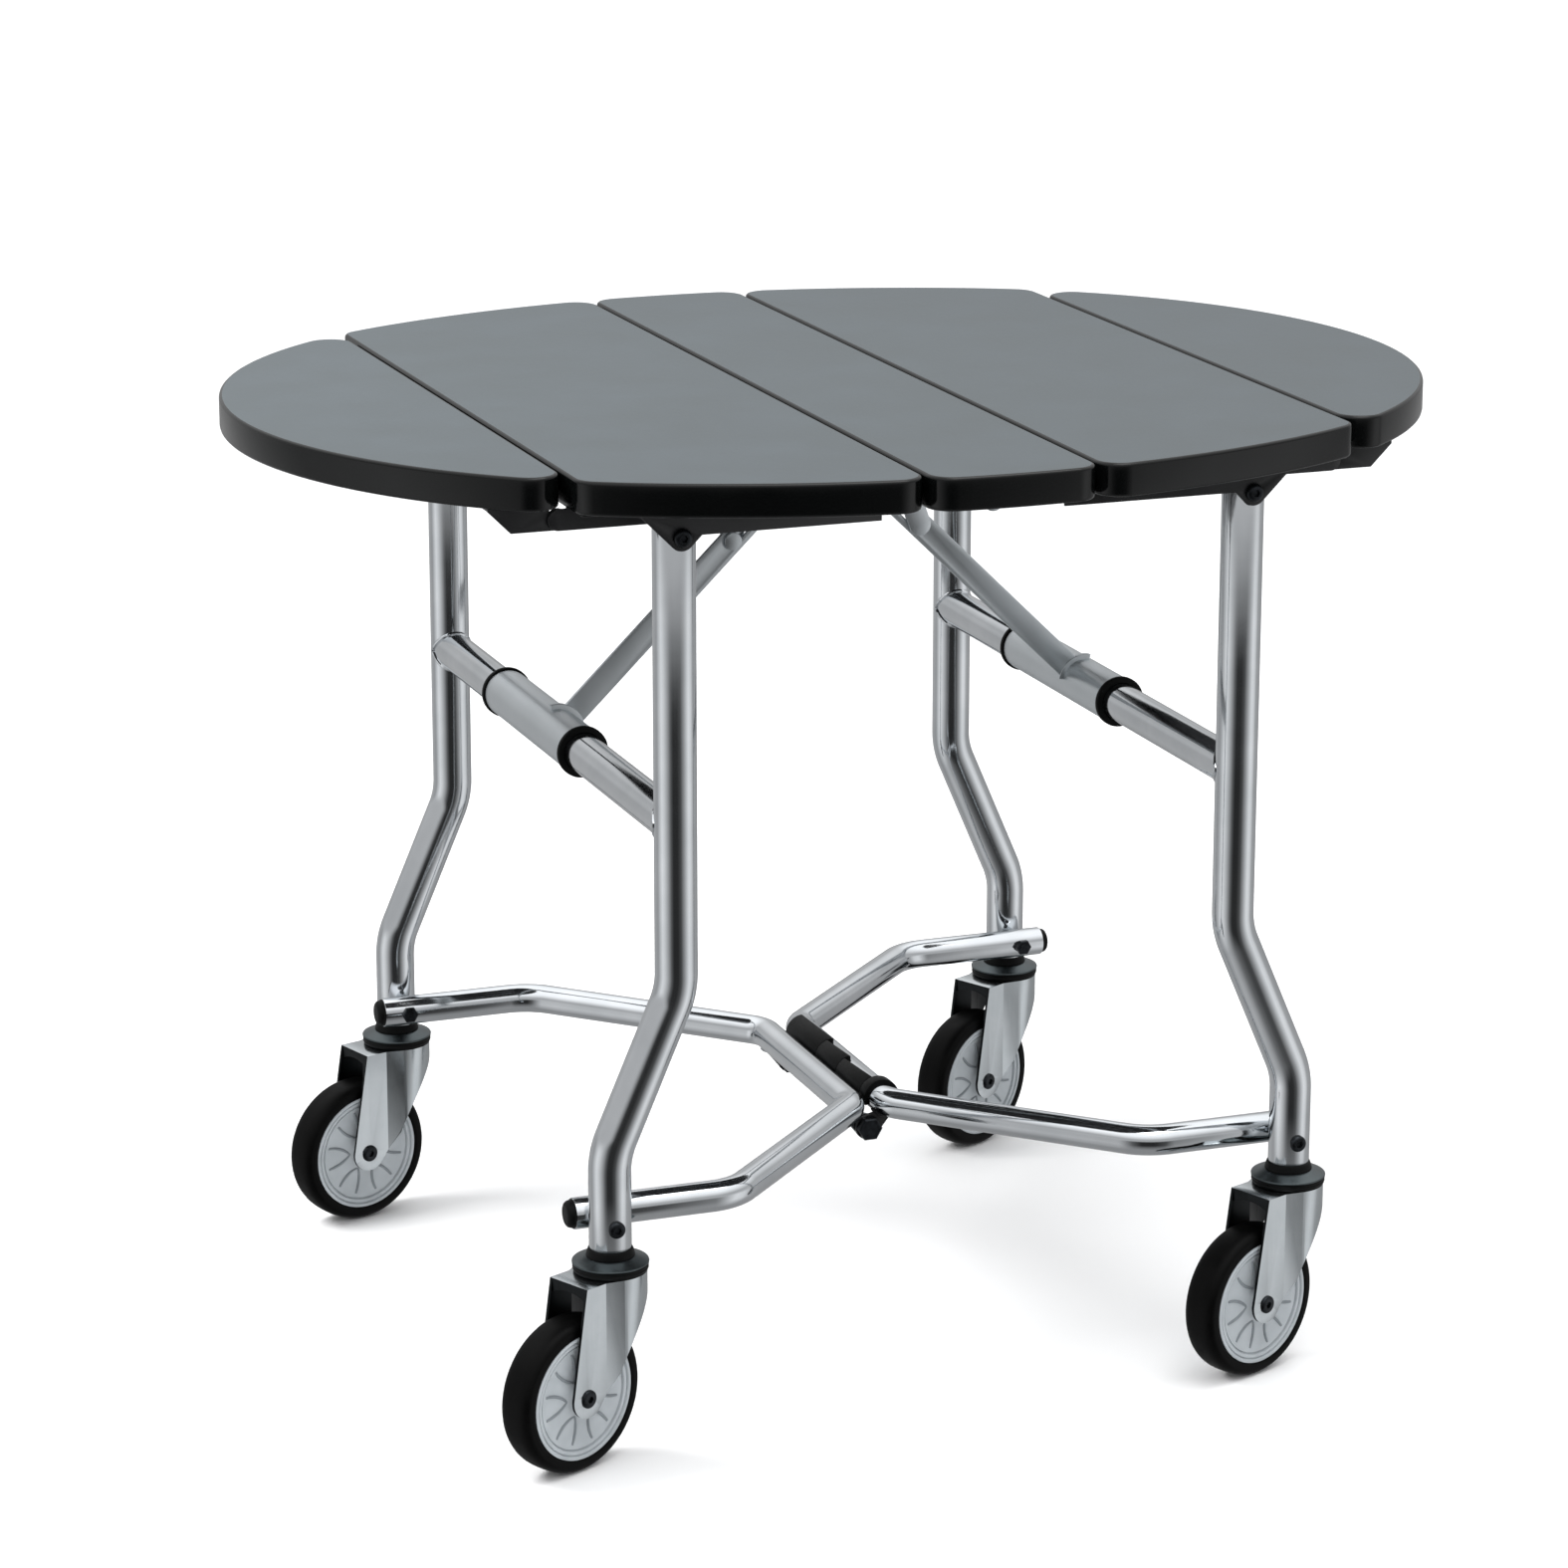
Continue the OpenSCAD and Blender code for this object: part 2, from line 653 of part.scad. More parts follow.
module lower_frame(side) {
    step = side == right ? 0 : lug_t + side_gap;
    eye = side == right ? rod_r : rod_r + pivot_play;
    color(chrome) on_side(side) {
        difference() {
            union() {
                translate([0, 0, low_z]) bent_bar(low_path, low_bends, low_r);
                centre_lug(lug_front_y + step, eye);
                centre_lug(lug_back_y + step, eye);
            }
            translate([0, 0, low_z]) bent_bar(longer(low_path), low_bends, low_r - tube_wall);
            for (end = [front, back]) on_end(end)
                rod_y(foot_x, low_z, low_y - low_d, low_y + low_d, bolt_r + run_fit);
        }
    }
}

module end_plugs(side) {
    tip_r = low_r - 1.5;
    nose = 4;
    plug_in = 8;
    color(black) for (end = [front, back]) on_side(side) on_end(end)
        translate([foot_x + low_over, low_y, low_z]) rotate([0, 90, 0]) rotate_extrude() {
            translate([0, -plug_in]) square([low_r - tube_wall, plug_in]);
            square([tip_r, plug_over - nose]);
            square([tip_r - nose, plug_over]);
            translate([tip_r - nose, plug_over - nose]) intersection() {
                circle(nose);
                square(nose);
            }
        }
}

// The centre pivot: a rod with two hexagonal heads, each in front of a pair of lugs
module centre_rod() {
    head = 7;
    rod_over = 2;
    color(black) {
        rod_y(0, rod_z, lug_front_y - head, lug_back_y + 2 * lug_t + side_gap + rod_over, rod_r);
        for (y = [lug_front_y, lug_back_y]) hex_y(0, rod_z, y - head, y, rod_r + 4);
    }
}

// Strip that keeps the two frames' centre runs apart, with a clip round the right one
module bumper() {
    grip = 3;
    reach = 3 * low_r;
    back_end = low_run - 11.5;
    // front and back end, and the first and last angle round the tube
    lengths = [[-90, -78, -60, 200], [-78, -24, 78, 190], [-24, 22, 92, 190], [22, back_end, 70, 190]];
    color(black) translate([low_in_x, 0, low_z]) rotate([90, 0, 0]) intersection() {
        translate([0, 0, -low_run]) difference() {
            cylinder(h = 2 * low_run, r = low_r + grip, $fn = 96);
            cylinder(h = 2 * low_run, r = low_r, $fn = 96);
        }
        for (s = lengths) translate([0, 0, -s[1]]) linear_extrude(s[1] - s[0])
            polygon([[0, 0], for (i = [0:4])
                let (a = s[2] + i * (s[3] - s[2]) / 4) reach * [cos(a), sin(a)]]);
    }
}

// Moves a caster part from the swivel axis at the origin to its leg
module at_leg(side, end, turn) {
    translate([side * foot_x, end * leg_y, 0]) rotate([0, 0, turn]) children();
}

// The fork's wall seen from above: flat cheeks, folded in to the round front that they run into
module fork_wall() {
    y = cheek_y;
    t = fork_t - 2 * bend_proud;
    r = fork_r - bend_proud;
    touch = atan2(y, fold_x) - acos(r / norm([fold_x, y]));
    out = [cos(touch), sin(touch)];
    past = bend_in * [sin(touch), -cos(touch)];
    fold_in = [(r - t - (y - t) * sin(touch)) / cos(touch), y - t];
    difference() {
        circle(fork_r, $fn = 96);
        circle(fork_r - fork_t, $fn = 96);
        polygon([[0, 0], 2 * fork_r * out, [-2 * fork_r, 2 * fork_r], [-2 * fork_r, -2 * fork_r],
            2 * fork_r * [out[0], -out[1]]]);
    }
    for (m = [0, 1]) mirror([0, m])
        polygon([[-2 * trail, y], [fold_x, y], r * out + past, (r - t) * out + past, fold_in,
            [-2 * trail, y - t]]);
}

// The fork's crown seen from above, which ends inside the wall
module fork_top() {
    half = cheek_y - fork_t / 2;
    circle(fork_r - fork_t / 2, $fn = 96);
    polygon([[lip_x, -half], [fold_x, -half], [0, fork_t - fork_r], [0, fork_r - fork_t], [fold_x, half],
        [lip_x, half]]);
}

// The fork seen from the side: a long arc cuts its front, and a round end holds the axle
module fork_side() {
    cut_r = 164.5;
    chin = [-13.6, wheel_r + 13.5];
    brow = [fork_r, crown_z - 7.9];
    chord = brow - chin;
    middle = (chin + brow) / 2;
    cut_c = middle + unit([chord[1], -chord[0]]) * (sqrt(cut_r * cut_r - chord * chord / 4) + hair);
    axle = [-trail, wheel_r];
    away = norm(chin - axle);
    low = heading(axle, chin) - acos(cheek_r / away);
    heel = axle + cheek_r * [cos(176), sin(176)];
    difference() {
        union() {
            translate(axle) circle(cheek_r);
            polygon([axle, axle + cheek_r * [cos(low), sin(low)], chin, [fork_r + 5, chin[1]],
                [fork_r + 5, crown_z + 5], [lip_x - 2, crown_z + 5], [lip_x, crown_z], heel]);
        }
        translate(cut_c) circle(cut_r, $fn = 240);
    }
}

// The crown's turned-down edge behind the swivel, with an arched lower side
module fork_lip() {
    half = cheek_y - fork_t / 2;
    arch = 2 * cheek_y;
    translate([lip_x, 0, 0]) rotate([90, 0, 90]) linear_extrude(fork_t) difference() {
        translate([-half, crown_z - lip_h]) square([2 * half, lip_h]);
        translate([0, crown_z - lip_h / 2 - arch]) circle(arch, $fn = 120);
    }
}

module fork(side, end, turn) {
    color(zinc) at_leg(side, end, turn) difference() {
        union() {
            intersection() {
                linear_extrude(crown_z) fork_wall();
                upright(-2 * fork_r, 4 * fork_r) fork_side();
            }
            translate([0, 0, crown_z - fork_t]) linear_extrude(fork_t) fork_top();
            fork_lip();
        }
        translate([0, 0, crown_z - 10]) cylinder(h = 20, r = stem_r + run_fit);
        rod_y(-trail, wheel_r, -fork_r, fork_r, axle_r);
    }
}

// The axle bolt, with a low head on one cheek and a nut on the other
module axle(side, end, turn) {
    head_low = 2;
    color(zinc) at_leg(side, end, turn) {
        rod_y(-trail, wheel_r, -cheek_y - head_low + 0.5, cheek_y + head_t + 1, axle_r);
        rod_y(-trail, wheel_r, -cheek_y - head_low, -cheek_y, axle_r + 2);
        hex_y(-trail, wheel_r, cheek_y, cheek_y + head_t, axle_r + 3);
    }
}

// A solid tyre with rounded shoulders
module tyre(side, end, turn) {
    crown = 4;
    half = tyre_w / 2;
    color(black) at_leg(side, end, turn) translate([-trail, 0, wheel_r]) rotate([90, 0, 0])
        rotate_extrude($fn = 96) {
            translate([hub_r, -half + crown]) square([wheel_r - hub_r, tyre_w - 2 * crown]);
            translate([hub_r, -half]) square([wheel_r - hub_r - crown, tyre_w]);
            for (s = [-1, 1]) translate([wheel_r - crown, s * (half - crown)]) circle(crown);
        }
}

// Hub: a boss, a thin web with curved ribs on both sides, and a double rim inside the tyre
module hub(side, end, turn) {
    half = tyre_w / 2;
    bore = axle_r + run_fit;
    color(hub_grey) at_leg(side, end, turn) translate([-trail, 0, wheel_r]) rotate([90, 0, 0]) {
        rotate_extrude($fn = 96) {
            translate([bore, -boss_half]) square([boss_r - bore, 2 * boss_half]);
            translate([bore, -web_half]) square([hub_r - bore, 2 * web_half]);
            translate([hub_r - rim_w, -half]) square([rim_w, tyre_w]);
            translate([hub_r - 2.5 * rim_w, rim_step - half]) square([1.5 * rim_w, tyre_w - 2 * rim_step]);
        }
        translate([0, 0, -rib_half]) linear_extrude(2 * rib_half)
            for (i = [0 : rib_n - 1]) rotate(i * 360 / rib_n) intersection() {
                difference() {
                    circle(hub_r - 2 * rim_w, $fn = 96);
                    circle(boss_r - 1);
                    translate([-hub_r, -2 * hub_r]) square([2 * hub_r, 2 * hub_r]);
                }
                translate([rib_bow, 0]) difference() {
                    circle(rib_bow + rib_t / 2, $fn = 96);
                    circle(rib_bow - rib_t / 2, $fn = 96);
                }
            }
    }
}

centre_board();
centre_edge();
guide_plate();
centre_hinges();
wing_board(left);  // wing_board_left
wing_board(right);  // wing_board_right
wing_edge(left);  // wing_edge_left
wing_edge(right);  // wing_edge_right
rail(left, front);  // rail_front_left
rail(right, front);  // rail_front_right
rail(left, back);  // rail_back_left
rail(right, back);  // rail_back_right
wing_lugs(left);  // wing_lugs_left
wing_lugs(right);  // wing_lugs_right
leg_bolts(left);  // leg_bolts_left
leg_bolts(right);  // leg_bolts_right
leaf_board(left);  // leaf_board_left
leaf_board(right);  // leaf_board_right
leaf_edge(left);  // leaf_edge_left
leaf_edge(right);  // leaf_edge_right
leaf_arms(left);  // leaf_arms_left
leaf_arms(right);  // leaf_arms_right
leg(left, front);  // leg_front_left
leg(right, front);  // leg_front_right
leg(left, back);  // leg_back_left
leg(right, back);  // leg_back_right
crossbar(left);  // crossbar_left
crossbar(right);  // crossbar_right
stop_rings(left);  // stop_rings_left
stop_rings(right);  // stop_rings_right
collars(left);  // collars_left
collars(right);  // collars_right
stems(left);  // stems_left
stems(right);  // stems_right
foot_bolts(left);  // foot_bolts_left
foot_bolts(right);  // foot_bolts_right
stay(left);  // stay_left
stay(right);  // stay_right
lower_frame(left);  // lower_frame_left
lower_frame(right);  // lower_frame_right
end_plugs(left);  // end_plugs_left
end_plugs(right);  // end_plugs_right
centre_rod();
bumper();
fork(left, front, turn_fl);  // fork_front_left
fork(right, front, turn_fr);  // fork_front_right
fork(left, back, turn_bl);  // fork_back_left
fork(right, back, turn_br);  // fork_back_right
axle(left, front, turn_fl);  // axle_front_left
axle(right, front, turn_fr);  // axle_front_right
axle(left, back, turn_bl);  // axle_back_left
axle(right, back, turn_br);  // axle_back_right
tyre(left, front, turn_fl);  // tyre_front_left
tyre(right, front, turn_fr);  // tyre_front_right
tyre(left, back, turn_bl);  // tyre_back_left
tyre(right, back, turn_br);  // tyre_back_right
hub(left, front, turn_fl);  // hub_front_left
hub(right, front, turn_fr);  // hub_front_right
hub(left, back, turn_bl);  // hub_back_left
hub(right, back, turn_br);  // hub_back_right
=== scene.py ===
from math import atan2, cos, degrees, pi, radians, sin, sqrt, tan

import bmesh
import bpy
from mathutils import Matrix, Vector


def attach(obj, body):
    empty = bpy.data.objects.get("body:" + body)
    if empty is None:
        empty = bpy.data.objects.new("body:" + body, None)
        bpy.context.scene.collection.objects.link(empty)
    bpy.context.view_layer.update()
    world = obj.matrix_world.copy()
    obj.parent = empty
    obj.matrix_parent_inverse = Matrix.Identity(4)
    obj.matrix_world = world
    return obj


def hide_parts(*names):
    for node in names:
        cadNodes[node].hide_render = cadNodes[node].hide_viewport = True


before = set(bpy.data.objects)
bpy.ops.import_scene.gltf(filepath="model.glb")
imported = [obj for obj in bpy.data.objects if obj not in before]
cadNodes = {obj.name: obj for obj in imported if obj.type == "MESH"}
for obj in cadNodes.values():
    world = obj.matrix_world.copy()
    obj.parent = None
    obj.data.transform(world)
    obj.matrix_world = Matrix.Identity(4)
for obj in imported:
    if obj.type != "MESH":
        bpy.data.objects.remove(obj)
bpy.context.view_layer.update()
ends = {"front": -1, "back": 1}
sides = {"left": -1, "right": 1}


def linear(hexColour):
    parts = [int(hexColour[i:i + 2], 16) / 255 for i in (1, 3, 5)]
    return [p / 12.92 if p <= 0.04045 else ((p + 0.055) / 1.055) ** 2.4 for p in parts] + [1.0]


def mm(*values):
    return Vector([v / 1000 for v in values])


def shifted(x, y, z):
    return Matrix.Translation(mm(x, y, z))


def addObject(name, data):
    made = bpy.data.objects.new(name, data)
    bpy.context.scene.collection.objects.link(made)
    return made


def plainMesh(holder):
    # the mesh that a curve or a tree makes, without its holder
    graph = bpy.context.evaluated_depsgraph_get()
    mesh = bpy.data.meshes.new_from_object(holder.evaluated_get(graph))
    bpy.data.objects.remove(holder)
    return mesh


def addNode(tree, kind, settings=None, **inputs):
    # an input's name is its socket's, with _ for a space, or i0, i1 ... for its place in the list
    node = tree.nodes.new(kind)
    for key, value in (settings or {}).items():
        setattr(node, key, value)
    for key, value in inputs.items():
        place = int(key[1:]) if key[0] == "i" and key[1:].isdigit() else key.replace("_", " ")
        socket = node.inputs[place]
        if isinstance(value, bpy.types.NodeSocket):
            tree.links.new(value, socket)
        else:
            socket.default_value = value
    return node


def sumNode(tree, operation, *values):
    given = {"i%d" % k: value for k, value in enumerate(values)}
    return addNode(tree, "ShaderNodeMath", {"operation": operation}, **given).outputs["Value"]


def vectorNode(tree, x, y, z):
    return addNode(tree, "ShaderNodeCombineXYZ", X=x, Y=y, Z=z).outputs["Vector"]


def newMaterial(name, colour, metallic, roughness, **sockets):
    material = bpy.data.materials.new(name)
    material.use_nodes = True
    material.diffuse_color = linear(colour)
    tree = material.node_tree
    shader = tree.nodes["Principled BSDF"]
    shader.inputs["Base Color"].default_value = linear(colour)
    shader.inputs["Metallic"].default_value = metallic
    shader.inputs["Roughness"].default_value = roughness
    for key, value in sockets.items():
        shader.inputs[key.replace("_", " ")].default_value = value
    return material, tree, shader


def placeOf(tree, stretch=(1, 1, 1)):
    coord = addNode(tree, "ShaderNodeTexCoord")
    return addNode(tree, "ShaderNodeMapping", Vector=coord.outputs["Object"], Scale=stretch).outputs["Vector"]


def spread(tree, fac, low, high, start=0.3, stop=0.7):
    return addNode(tree, "ShaderNodeMapRange", Value=fac, From_Min=start, From_Max=stop, To_Min=low,
                   To_Max=high).outputs["Result"]


def twoTone(tree, shader, fac, first, second, start=0.3, stop=0.7):
    ramp = addNode(tree, "ShaderNodeValToRGB", Fac=fac)
    ramp.color_ramp.elements[0].position = start
    ramp.color_ramp.elements[0].color = linear(first)
    ramp.color_ramp.elements[1].position = stop
    ramp.color_ramp.elements[1].color = linear(second)
    tree.links.new(ramp.outputs["Color"], shader.inputs["Base Color"])


def roughFrom(tree, shader, fac, *levels):
    tree.links.new(spread(tree, fac, *levels), shader.inputs["Roughness"])


def bumpFrom(tree, shader, height, depthMm, strength=1.0):
    bump = addNode(tree, "ShaderNodeBump", Height=height, Distance=depthMm / 1000, Strength=strength)
    tree.links.new(bump.outputs["Normal"], shader.inputs["Normal"])


def surface(name, colour, metallic, roughness, noises, tones=None, rough=None, bump=None, mixed=None, **more):
    # a noise is the width in mm of one light and dark pair, its detail, its roughness and any stretch; tones,
    # rough and bump each begin with the noise that they follow; mixed adds a share of one to another
    material, tree, shader = newMaterial(name, colour, metallic, roughness, **more)
    shared = placeOf(tree)
    made = {}
    for key, (widthMm, detail, fine, *stretch) in noises.items():
        made[key] = addNode(tree, "ShaderNodeTexNoise", Vector=placeOf(tree, *stretch) if stretch else shared,
                            Scale=1000 / widthMm, Detail=detail, Roughness=fine).outputs["Fac"]
    if mixed:
        made["mixed"] = sumNode(tree, "MULTIPLY_ADD", made[mixed[0]], mixed[1], made[mixed[2]])
    for follow, values in ((twoTone, tones), (roughFrom, rough), (bumpFrom, bump)):
        if values:
            follow(tree, shader, made[values[0]], *values[1:])
    return material


def laminateSheet():
    # high pressure laminate: a satin sheet with a faint mottle and a pressed, slightly pebbled skin
    noises = {"cloud": (70, 4.0, 0.6), "speck": (1.6, 2.0, 0.5)}
    return surface("laminateSheet", "#4a5154", 0.0, 0.42, noises, mixed=("speck", 0.35, "cloud"),
                   tones=("mixed", "#42494c", "#4b5256", 0.4, 0.95), rough=("cloud", 0.39, 0.47),
                   bump=("speck", 0.03, 0.35), IOR=1.46)


def edgeBand():
    # ABS edge band, flame polished: black and glossy, with a slow ripple that the highlight shows
    return surface("polishedAbsBand", "#050606", 0.0, 0.16, {"ripple": (28, 2.0, 0.5)},
                   rough=("ripple", 0.12, 0.2), bump=("ripple", 0.12, 0.4), IOR=1.5, Specular_IOR_Level=0.28)


def melamineBacker():
    # melamine faced underside: flat black with a fine paper grain
    return surface("melamineBacker", "#16171a", 0.0, 0.5, {"grain": (2.2, 4.0, 0.6)},
                   tones=("grain", "#131416", "#1b1c1f"), bump=("grain", 0.04, 0.5), IOR=1.5)


def powderPaint():
    # black powder coat on pressed steel: satin, with an orange-peel skin
    noises = {"peel": (1.8, 2.0, 0.5), "worn": (45, 3.0, 0.5)}
    return surface("powderPaint", "#111214", 0.0, 0.36, noises, tones=("worn", "#0f1011", "#17181a"),
                   rough=("worn", 0.3, 0.44), bump=("peel", 0.05, 0.35), IOR=1.5)


def chromePlate():
    # chrome plated tube: a near mirror, with the long ripple of drawn tube and a trace of handling haze
    noises = {"haze": (60, 3.0, 0.6), "ripple": (22, 1.0, 0.5)}
    return surface("chromePlate", "#d3d7da", 1.0, 0.1, noises, tones=("haze", "#cdd1d4", "#dbdee1"),
                   rough=("haze", 0.08, 0.13), bump=("ripple", 0.05, 0.3))


def satinSilver():
    # zinc rich silver enamel on the sleeves and straps: even, satin, with fine metal flake
    noises = {"flake": (0.9, 2.0, 0.5), "cloud": (50, 3.0, 0.5)}
    return surface("satinSilverEnamel", "#c6ccd0", 1.0, 0.34, noises, tones=("cloud", "#cfd5d8", "#d9dee1"),
                   rough=("cloud", 0.3, 0.38), bump=("flake", 0.02, 0.3))


def zincPlate(name, dark, light, low, high):
    # zinc on pressed steel: the rolling streaks run along Z under a thin cloudy plating
    noises = {"streak": (2.4, 4.0, 0.6, (1, 1, 0.06)), "cloud": (24, 4.0, 0.6)}
    return surface(name, light, 1.0, high, noises, mixed=("streak", 0.4, "cloud"), bump=("streak", 0.02, 0.25),
                   tones=("mixed", dark, light, 0.45, 0.95), rough=("mixed", low, high, 0.45, 0.95))


def mouldedNylon(name, dark, light, roughness, grainMm, sheen=0.5):
    # dull, with the fine spark grain of its mould
    noises = {"grain": (grainMm, 3.0, 0.6), "flow": (18, 2.0, 0.5)}
    return surface(name, dark, 0.0, roughness, noises, tones=("flow", dark, light), bump=("grain", 0.03, 0.35),
                   rough=("grain", roughness - 0.05, roughness + 0.08), IOR=1.46, Specular_IOR_Level=sheen)


def tyreRubber():
    # solid rubber tyre: near black, a soft sheen, floor dust on it in faint patches
    noises = {"dust": (14, 4.0, 0.65), "grain": (1.2, 2.0, 0.5)}
    return surface("solidRubber", "#040404", 0.0, 0.46, noises, tones=("dust", "#030303", "#080808", 0.4, 0.9),
                   rough=("dust", 0.4, 0.56), bump=("grain", 0.05, 0.3), IOR=1.5, Specular_IOR_Level=0.08)


def blackenedSteel():
    # black oxide bolts: dark grey steel with an oily gloss
    return surface("blackenedSteel", "#2a2c2f", 0.9, 0.3, {"cloud": (6, 3.0, 0.5)},
                   tones=("cloud", "#1d1f21", "#33363a"), rough=("cloud", 0.24, 0.38))


mats = {
    "laminate": laminateSheet(),
    "edge_black": edgeBand(),
    "backer": melamineBacker(),
    "black_steel": powderPaint(),
    "chrome_tube": chromePlate(),
    "silver_paint": satinSilver(),
    "zinc_plate": zincPlate("brightZincPlate", "#bcc2c5", "#c6cbce", 0.17, 0.22),
    "cap_steel": zincPlate("spunCapSteel", "#4d5456", "#5a6163", 0.3, 0.38),
    # painted shade: a dark copy of the zinc for the fork's inside and crown underside, and a painted
    # reflection of the tyre on its lip
    "zinc_painted_shade": zincPlate("zincPaintedShade", "#1d1f20", "#2b2e30", 0.34, 0.46),
    "black_plastic": mouldedNylon("blackMouldedNylon", "#050606", "#090a0a", 0.44, 1.4, 0.12),
    "hub_plastic": mouldedNylon("greyMouldedNylon", "#a3a9ad", "#adb3b7", 0.34, 1.1),
    # painted shade: the hub's grey nylon made darker on the petal ribs, for the shade of the moulded petals
    "rib_painted_shade": mouldedNylon("greyNylonPaintedShade", "#767c80", "#82888c", 0.4, 1.1, 0.3),
    "tyre_black": tyreRubber(),
    "bolt_black": blackenedSteel(),
}
print("materials:", len(mats))


def finish(name, bm, body, slots, replaced=(), **look):
    # makes the object, at the origin, with soft shading between its creases
    bmesh.ops.remove_doubles(bm, verts=bm.verts, dist=2e-6)
    bmesh.ops.recalc_face_normals(bm, faces=bm.faces)
    mesh = bpy.data.meshes.new(name)
    bm.to_mesh(mesh)
    bm.free()
    return wear(name, mesh, body, slots, replaced, **look)


def wear(name, mesh, body, slots, replaced=(), creaseDeg=35, slotName=None):
    mesh.name = name
    if mesh.materials:
        mesh.materials.clear()
    for slotKey in slots:
        mesh.materials.append(mats[slotKey])
    mesh.shade_smooth()
    mesh.set_sharp_from_angle(angle=radians(creaseDeg))
    piece = addObject(name, mesh)
    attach(piece, body)
    if replaced:
        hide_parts(*replaced)
    return piece


def addRings(bm, rings, slot=0, closedLoop=False, capped=True):
    rows = [[bm.verts.new(p) for p in ring] for ring in rings]
    count = len(rows[0])
    pairs = list(zip(rows, rows[1:])) + ([(rows[-1], rows[0])] if closedLoop else [])
    for low, high in pairs:
        for i in range(count):
            j = (i + 1) % count
            bm.faces.new((low[i], low[j], high[j], high[i])).material_index = slot
    if capped and not closedLoop:
        bm.faces.new(list(reversed(rows[0]))).material_index = slot
        bm.faces.new(rows[-1]).material_index = slot


def axisMatrix(origin, axis):
    return Matrix.Translation(Vector(origin)) @ Vector(axis).to_track_quat("Z", "Y").to_matrix().to_4x4()


def roundRings(profile, matrix, segments):
    # profile is (radius, height) in mm, from one end of the matrix's Z to the other
    turns = [2 * pi * i / segments for i in range(segments)]
    return [[matrix @ mm(r * cos(a), r * sin(a), h) for a in turns] for r, h in profile]


def lathe(bm, profile, matrix, segments=64):
    # a solid turned part; a radius of 0 in its profile is a pole
    poleRadius = 1e-3
    addRings(bm, roundRings([(max(r, poleRadius), h) for r, h in profile], matrix, segments))


def turnedRing(bm, profile, matrix, segments):
    # a turned part with a bore, whose profile closes on itself
    addRings(bm, roundRings(profile, matrix, segments), closedLoop=True)


def hexHead(bm, matrix, flatMm, height, chamfer=0.8):
    # six sides and a chamfered crown, from 0 up to height along the matrix's Z
    corner = flatMm / cos(pi / 6)
    steps = ((1, 0), (1, height - chamfer), (0.86, height), (0.5, height))
    addRings(bm, roundRings([(corner * scale, h) for scale, h in steps], matrix, 6))


def bentPath(corners, radii, stepDeg=3.0):
    points = [Vector(corners[0])]
    for i in range(1, len(corners) - 1):
        a, b, c = (Vector(corners[k]) for k in (i - 1, i, i + 1))
        u, v = (b - a).normalized(), (c - b).normalized()
        turn = u.angle(v)
        cut = radii[i - 1] * tan(turn / 2)
        side = (v - u * cos(turn)) / sin(turn)
        start = b - u * cut
        steps = max(2, int(turn / radians(stepDeg)))
        for k in range(steps + 1):
            angle = turn * k / steps
            points.append(start + u * radii[i - 1] * sin(angle) + side * radii[i - 1] * (1 - cos(angle)))
    points.append(Vector(corners[-1]))
    return points


def ringAlong(points, i, upright, radius, segments, closed=False):
    count = len(points)
    before = points[(i - 1) % count] if closed or i > 0 else points[i]
    after = points[(i + 1) % count] if closed or i < count - 1 else points[i]
    ahead = ((points[i] - before).normalized() + (after - points[i]).normalized()).normalized()
    across = upright.cross(ahead).normalized()
    up = ahead.cross(across)
    return [points[i] + radius * (across * cos(2 * pi * k / segments) + up * sin(2 * pi * k / segments))
            for k in range(segments)]


def tubeLip(middle, following, ring, r, wallMm, soft=0.0004, depth=0.014):
    inward = (following - middle).normalized()
    inner = r - wallMm / 1000
    steps = ((r, soft), (r - soft * 0.3, soft * 0.3), (r - soft, 0), (inner + soft, 0), (inner, soft),
             (inner, depth))
    return [[middle + (p - middle) * (size / r) + inward * shift for p in ring] for size, shift in steps]


def sweep(bm, points, radiusMm, upright, slot=0, segments=40, wallMm=None, closed=False):
    # a round bar, or with a wall a tube whose ends are open for a short way
    r = radiusMm / 1000
    upright = Vector(upright)
    rings = [ringAlong(points, i, upright, r, segments, closed) for i in range(len(points))]
    if closed:
        addRings(bm, rings, slot, closedLoop=True)
        return
    if wallMm:
        # each lip turns in over the wall's end and runs a short way up the bore
        rings = list(reversed(tubeLip(points[0], points[1], rings[0], r, wallMm))) + rings[1:-1] \
            + tubeLip(points[-1], points[-2], rings[-1], r, wallMm)
    addRings(bm, rings, slot)


def cutPlate(bm, outlines, thickness, matrix, slot=0, bevel=0.4):
    # a flat plate in mm with holes, from z = 0 to its thickness, its edges eased by a small bevel
    curve = bpy.data.curves.new("plate", "CURVE")
    curve.dimensions = "2D"
    curve.fill_mode = "BOTH"
    curve.extrude = (thickness / 2 - bevel) / 1000
    curve.bevel_depth = bevel / 1000
    curve.bevel_resolution = 2
    curve.offset = -bevel / 1000
    for outline in outlines:
        spline = curve.splines.new("POLY")
        spline.points.add(len(outline) - 1)
        for point, (x, y) in zip(spline.points, outline):
            point.co = (x / 1000, y / 1000, 0, 1)
        spline.use_cyclic_u = True
    mesh = plainMesh(addObject("plate", curve))
    bpy.data.curves.remove(curve)
    mesh.transform(matrix @ shifted(0, 0, thickness / 2))
    start = len(bm.faces)
    bm.from_mesh(mesh)
    bpy.data.meshes.remove(mesh)
    bm.faces.ensure_lookup_table()
    for face in bm.faces[start:]:
        face.material_index = slot


def turnsOf(fromDeg, toDeg, steps):
    return [radians(fromDeg + (toDeg - fromDeg) * k / steps) for k in range(steps + 1)]


def arcPoints(cx, cy, r, fromDeg, toDeg, steps=24):
    return [(cx + r * cos(a), cy + r * sin(a)) for a in turnsOf(fromDeg, toDeg, steps)]


